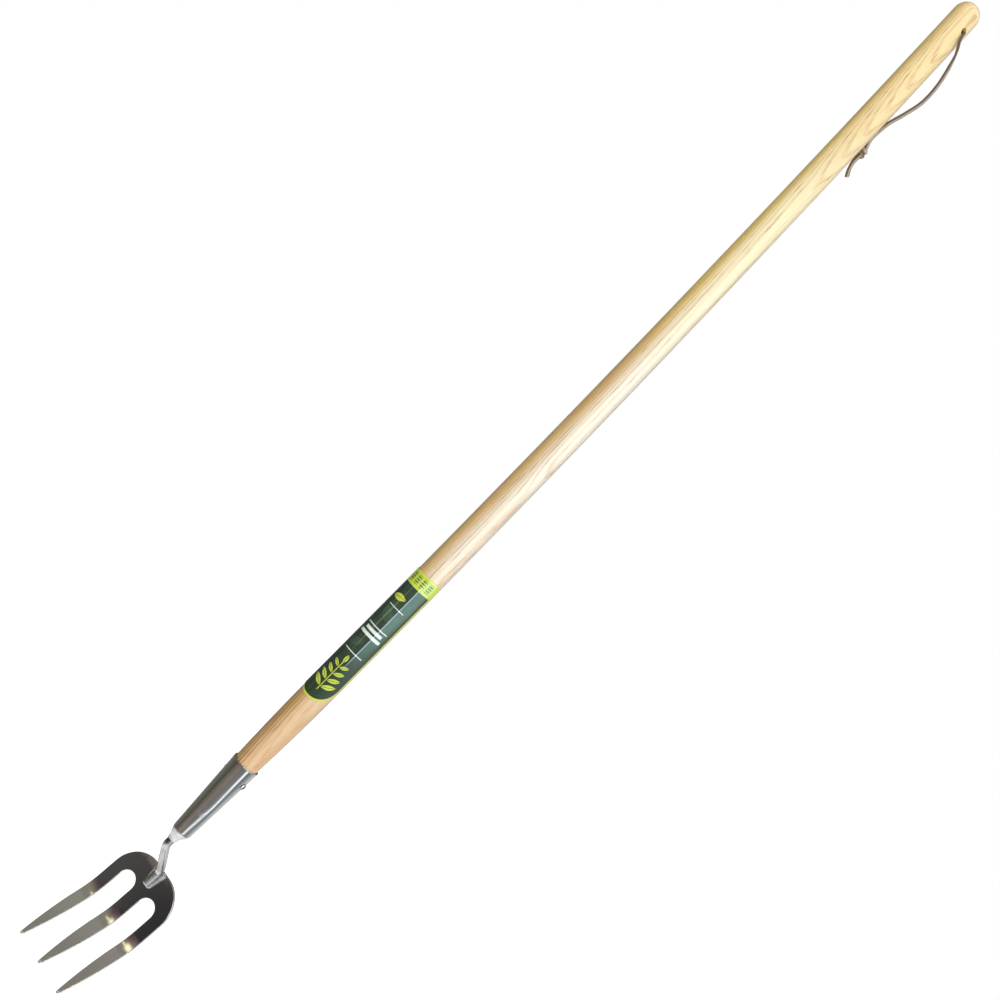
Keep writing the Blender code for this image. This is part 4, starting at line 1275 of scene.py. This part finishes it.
@dataclass
class ForkHead:
    """The pressed three-tined plate."""

    length: float = 135.4 * MM
    thickness: float = 3.0 * MM
    setback: float = 30.7 * MM
    drop: float = 139.0 * MM
    upper_lean: float = math.radians(12.9)
    tine_lean: float = math.radians(34.8)
    bend_start: float = 61.0 * MM
    bend_length: float = 25.0 * MM
    middle_tine: float = 14.8 * MM
    outer_tine: float = 13.0 * MM
    slot: float = 21.0 * MM
    slot_root: float = 111.8 * MM
    shoulder: float = 30.0 * MM
    point_length: float = 64.0 * MM
    tip: float = 1.7 * MM
    edge: float = 0.4 * MM
    crown: float = 3.2
    crown_step: float = 1.5 * MM
    rim_angle: float = 1.2
    rim_inset: float = 0.3 * MM

    def front(self, distance: float) -> Triple:
        """Returns the front of the plate in its middle plane.

        Args:
            distance: How far along the plate, from its top edge.

        Returns:
            Its y, its z and its lean.
        """
        straight = self.length - self.bend_start - self.bend_length
        y, z = self.setback, -self.drop
        first = min(distance, straight)
        y -= first * math.sin(self.upper_lean)
        z -= first * math.cos(self.upper_lean)
        bent = min(max(distance - straight, 0.0), self.bend_length)
        lean = self.upper_lean + (self.tine_lean - self.upper_lean) * bent / self.bend_length
        radius = self.bend_length / (self.tine_lean - self.upper_lean)
        y -= radius * (math.cos(self.upper_lean) - math.cos(lean))
        z -= radius * (math.sin(lean) - math.sin(self.upper_lean))
        last = max(distance - straight - self.bend_length, 0.0)
        return y - last * math.sin(lean), z - last * math.cos(lean), lean

    def point(self, across: float, up: float, depth: float) -> Vector:
        """Maps a point of the flat plate, across, up from the tips and behind its front, to its place."""
        y, z, lean = self.front(self.length - up)
        return Vector((across, y + depth * math.cos(lean), z - depth * math.sin(lean)))

    def tine_edge(self, pen: Pen, middle: float, half: float, side: int, down: bool) -> None:
        """Draws one bowed edge of a tine.

        Args:
            pen: The pen, at the edge's start.
            middle: The tine's middle.
            half: Half of its full width.
            side: 1 for its right edge, −1 for its left.
            down: Whether it is drawn towards the tip.
        """
        drop, run = half - self.tip, self.point_length - self.tip
        radius = (run ** 2 + drop ** 2) / (2 * drop)
        turn = math.degrees(math.asin(run / radius))
        pen.arc((middle + side * (half - radius), self.point_length), side * (-turn if down else turn), 20)

    def outline(self, bm: BMesh) -> None:
        """Draws the plate's flat outline and fills it."""
        inner = self.middle_tine / 2
        outer = inner + self.slot
        edge = outer + self.outer_tine
        tine, half, gap = (outer + edge) / 2, self.outer_tine / 2, self.slot / 2
        pen = Pen(bm, (0.0, self.length)).line((edge - self.shoulder, self.length))
        pen.arc((edge - self.shoulder, self.length - self.shoulder), -90.0, 28)
        pen.line((edge, self.point_length))
        self.tine_edge(pen, tine, half, 1, True)
        pen.arc((tine, self.tip), -180.0, 10)
        self.tine_edge(pen, tine, half, -1, False)
        pen.line((outer, self.slot_root - gap)).arc((inner + gap, self.slot_root - gap), 180.0, 24)
        pen.line((inner, self.point_length))
        self.tine_edge(pen, 0.0, inner, 1, True)
        pen.arc((0.0, self.tip), -90.0, 5)
        mirror(bm, "X", 2 * WELD)
        bmesh.ops.contextual_create(bm, geom=bm.edges[:])

    def build(self) -> None:
        """Presses the plate: outline, thickness, eased rim, bend and the tines' slight crown."""
        bm = bmesh.new()
        flat = bm.verts.layers.float_vector.new("flat")
        self.outline(bm)
        thicken(bm, -self.thickness)
        rim = [edge for edge in bm.edges if edge.calc_face_angle(0.0) > self.rim_angle
               and abs(edge.verts[0].co.z - edge.verts[1].co.z) < 1e-6]
        bmesh.ops.bevel(bm, geom=rim, affect="EDGES", offset=self.edge, segments=3, profile=0.5, material=-1,
                        clamp_overlap=False)
        caps = [face for face in bm.faces if abs(face.normal.z) > 0.999 and face.calc_area() > 1e-3]
        bmesh.ops.inset_region(bm, faces=caps, thickness=self.rim_inset, use_even_offset=True)
        for i in range(-4, 29):
            slice_mesh(bm, (0.0, self.bend_start + self.bend_length * i / 24, 0.0), BACKWARD)
        for middle in self.middles():
            for i in range(-4, 5):
                slice_mesh(bm, (middle + i * self.crown_step, 0.0, 0.0), RIGHT)
        for vert in bm.verts:
            vert[flat] = vert.co
            vert.co = self.point(vert.co.x, vert.co.y, -vert.co.z + self.crowned(vert.co.x, vert.co.y))
        outward(bm)
        steel = PressedSteel("head_steel", self.length, self.thickness).material()
        piece("head_plate", bm, steel, ("fork_head",), 40.0)

    def middles(self) -> Triple:
        """Returns the places of the tines' middles across the head."""
        outer = (self.middle_tine + self.outer_tine) / 2 + self.slot
        return -outer, 0.0, outer

    def crowned(self, across: float, up: float) -> float:
        """Returns how far a tine's surface falls back from flat, where the bend draws its edges in."""
        middle = min(self.middles(), key=lambda place: abs(place - across))
        bend = self.bend_start + self.bend_length / 2
        share = max(0.0, 1.0 - ((up - bend) / (self.bend_length * 0.8)) ** 2)
        return self.crown * (across - middle) ** 2 * share ** 2


@dataclass
class Neck:
    """The bent rod, its welded cone at the socket and its weld bead on the plate."""

    head: ForkHead
    rod: float = 4.1 * MM
    insert: float = 5.0 * MM
    knee_drop: float = 19.1 * MM
    knee_forward: float = 3.8 * MM
    sweep_angle: float = math.radians(43.0)
    bend: float = 10.0 * MM
    foot_length: float = 19.4 * MM
    foot_grind: float = 0.9 * MM
    foot_chamfer: float = 0.7 * MM
    bead_radius: float = 1.35 * MM
    bead_bend: float = 1.8 * MM
    bead_ripple: float = 1.9 * MM
    bead_inset: float = 0.4 * MM
    bead_flare: float = 1.7 * MM
    bead_top: float = 1.6 * MM
    bead_depth: float = 1.0 * MM
    bead_swell: float = 0.64
    bead_step: float = 0.45 * MM
    rod_step: float = 3.0 * MM
    ground_reach: float = 4.0 * MM

    def corners(self) -> list[Vector]:
        """Returns the rod's upper end, knee, heel and toe."""
        height = self.rod - self.foot_grind + CLEARANCE
        start = Vector((0.0, 0.0, self.insert - SOCKET_LENGTH))
        knee = Vector((0.0, -self.knee_forward, -SOCKET_LENGTH - self.knee_drop))
        along = Vector((0.0, math.sin(self.sweep_angle), -math.cos(self.sweep_angle)))
        toe = self.head.point(0.0, self.head.length - self.foot_length, -height)
        foot = (toe - self.head.point(0.0, self.head.length, -height)).normalized()
        gap = toe - knee
        run = (gap.y * foot.z - gap.z * foot.y) / (along.y * foot.z - along.z * foot.y)
        return [start, knee, knee + along * run, toe]

    def build(self) -> None:
        """Makes the rod and both welds."""
        self.swan()
        self.cone()
        self.bead()

    def swan(self) -> None:
        """Bends the rod and grinds its foot flat where it lies on the plate."""
        corners = self.corners()
        path = split_path(rounded_path(corners, self.bend, 14), self.rod_step)
        into = (path[-1] - path[-2]).normalized()
        path[-1:] = [path[-1] - into * self.foot_chamfer * share for share in (1.0, 0.35, 0.0)]
        whole = path_length(path)

        def girth(share: float) -> float:
            left = whole * (1 - share)
            return 1.0 - max(0.0, self.foot_chamfer - left) / self.rod

        bm = bmesh.new()
        bmesh.ops.create_circle(bm, segments=48, radius=self.rod)
        sweep(bm, path, Vector((1.0, 0.0, 0.0)), girth)
        up = self.head.length - 10.0 * MM
        face = self.head.point(0.0, up, -CLEARANCE)
        normal = (self.head.point(0.0, up, -1.0 * MM) - face).normalized()
        low = [f for f in bm.faces
               if (f.calc_center_median() - corners[2]).dot(into) > -self.ground_reach]
        around = {item for f in low for item in (f, *f.edges, *f.verts)}
        cut = bmesh.ops.bisect_plane(bm, geom=list(around), dist=1e-7, plane_co=face, plane_no=-normal,
                                     clear_outer=True)["geom_cut"]
        bmesh.ops.holes_fill(bm, edges=picked(cut, BMEdge))
        outward(bm)
        steel = SatinSteel("rod_steel", (0.62, 0.625, 0.635), (0.50, 0.50, 0.51), 0.25, 900.0, 1.0e-5, 0.92,
                           (-133.0 * MM, -142.0 * MM))
        piece("neck_rod", bm, steel.material(), ("swan_neck",), 30.0)

    def cone(self) -> None:
        """Builds up the frosted cone of weld between the socket's small end and the rod."""
        start, knee = self.corners()[:2]
        stations = ((0.0, 5.5), (0.5, 5.55), (1.4, 5.2), (2.4, 4.75), (3.6, 4.1), (4.9, 3.3), (6.2, 2.6),
                    (7.6, 1.85), (9.0, 1.3), (10.3, 0.95), (11.5, 0.7))
        bm = bmesh.new()
        edges, radius, centre = None, 0.0, Vector()
        for depth, spare in stations:
            height = -SOCKET_LENGTH - CLEARANCE - depth * MM
            lean = (start.z - height) / (start.z - knee.z) * min(1.0, depth * MM / self.insert)
            place, size = Vector((0.0, knee.y * lean, height)), self.rod + spare * MM
            if edges is None:
                ring = bmesh.ops.create_circle(bm, segments=64, radius=size)["verts"]
                bmesh.ops.translate(bm, verts=ring, vec=place)
                edges = bm.edges[:]
            else:
                made = bmesh.ops.extrude_edge_only(bm, edges=edges)["geom"]
                edges, ring = picked(made, BMEdge), picked(made, BMVert)
                growth = size / radius
                bmesh.ops.scale(bm, verts=ring, vec=(growth, growth, 1.0), space=Matrix.Translation(-centre))
                bmesh.ops.translate(bm, verts=ring, vec=place - centre)
            radius, centre = size, place
        bmesh.ops.holes_fill(bm, edges=bm.edges)
        outward(bm)
        steel = SatinSteel("cone_steel", (0.80, 0.80, 0.79), (0.58, 0.58, 0.57), 0.44, 1500.0, 2.5e-5, 0.85)
        piece("neck_cone", bm, steel.material(), ("neck_weld",), 50.0)

    def bead(self) -> None:
        """Lays the weld's bead round the foot's sides and toe, thicker towards the plate's top."""
        head, side, flare = self.head, self.rod - self.bead_inset, self.rod + self.bead_flare
        top, toe = head.length - self.bead_top, head.length - self.foot_length - self.bead_inset
        corners = [head.point(x, up, -self.bead_depth)
                   for x, up in ((flare, top), (side, toe), (-side, toe), (-flare, top))]
        path = split_path(rounded_path(corners, self.bead_bend, 8), self.bead_step)
        whole = path_length(path)
        arm = (corners[0] - corners[1]).length / whole

        def girth(share: float) -> float:
            swell = max(0.0, 1.0 - min(share, 1.0 - share) / arm)
            ripple = 0.010 * math.sin(share * whole / self.bead_ripple * math.tau)
            return 0.985 + self.bead_swell * swell + ripple

        bm = bmesh.new()
        bmesh.ops.create_circle(bm, segments=24, radius=self.bead_radius)
        sweep(bm, path, Vector((1.0, 0.0, 0.0)), girth)
        piece("foot_weld", bm, WeldBead(whole).material(), ("head_weld",), 70.0)


def settle_view() -> None:
    """Sets the plain view transform."""
    bpy.context.scene.view_settings.view_transform = "Standard"


def main() -> None:
    """Makes the studio and every sub-assembly, in order."""
    logging.basicConfig(level=logging.INFO, format="%(name)s %(message)s")
    settle_view()
    studio = Studio()
    studio.aim()
    Thong().build()
    HandleShaft().build()
    SocketCap().build()
    head = ForkHead()
    head.build()
    Neck(head).build()
    studio.build()


if __name__ == "__main__":
    main()
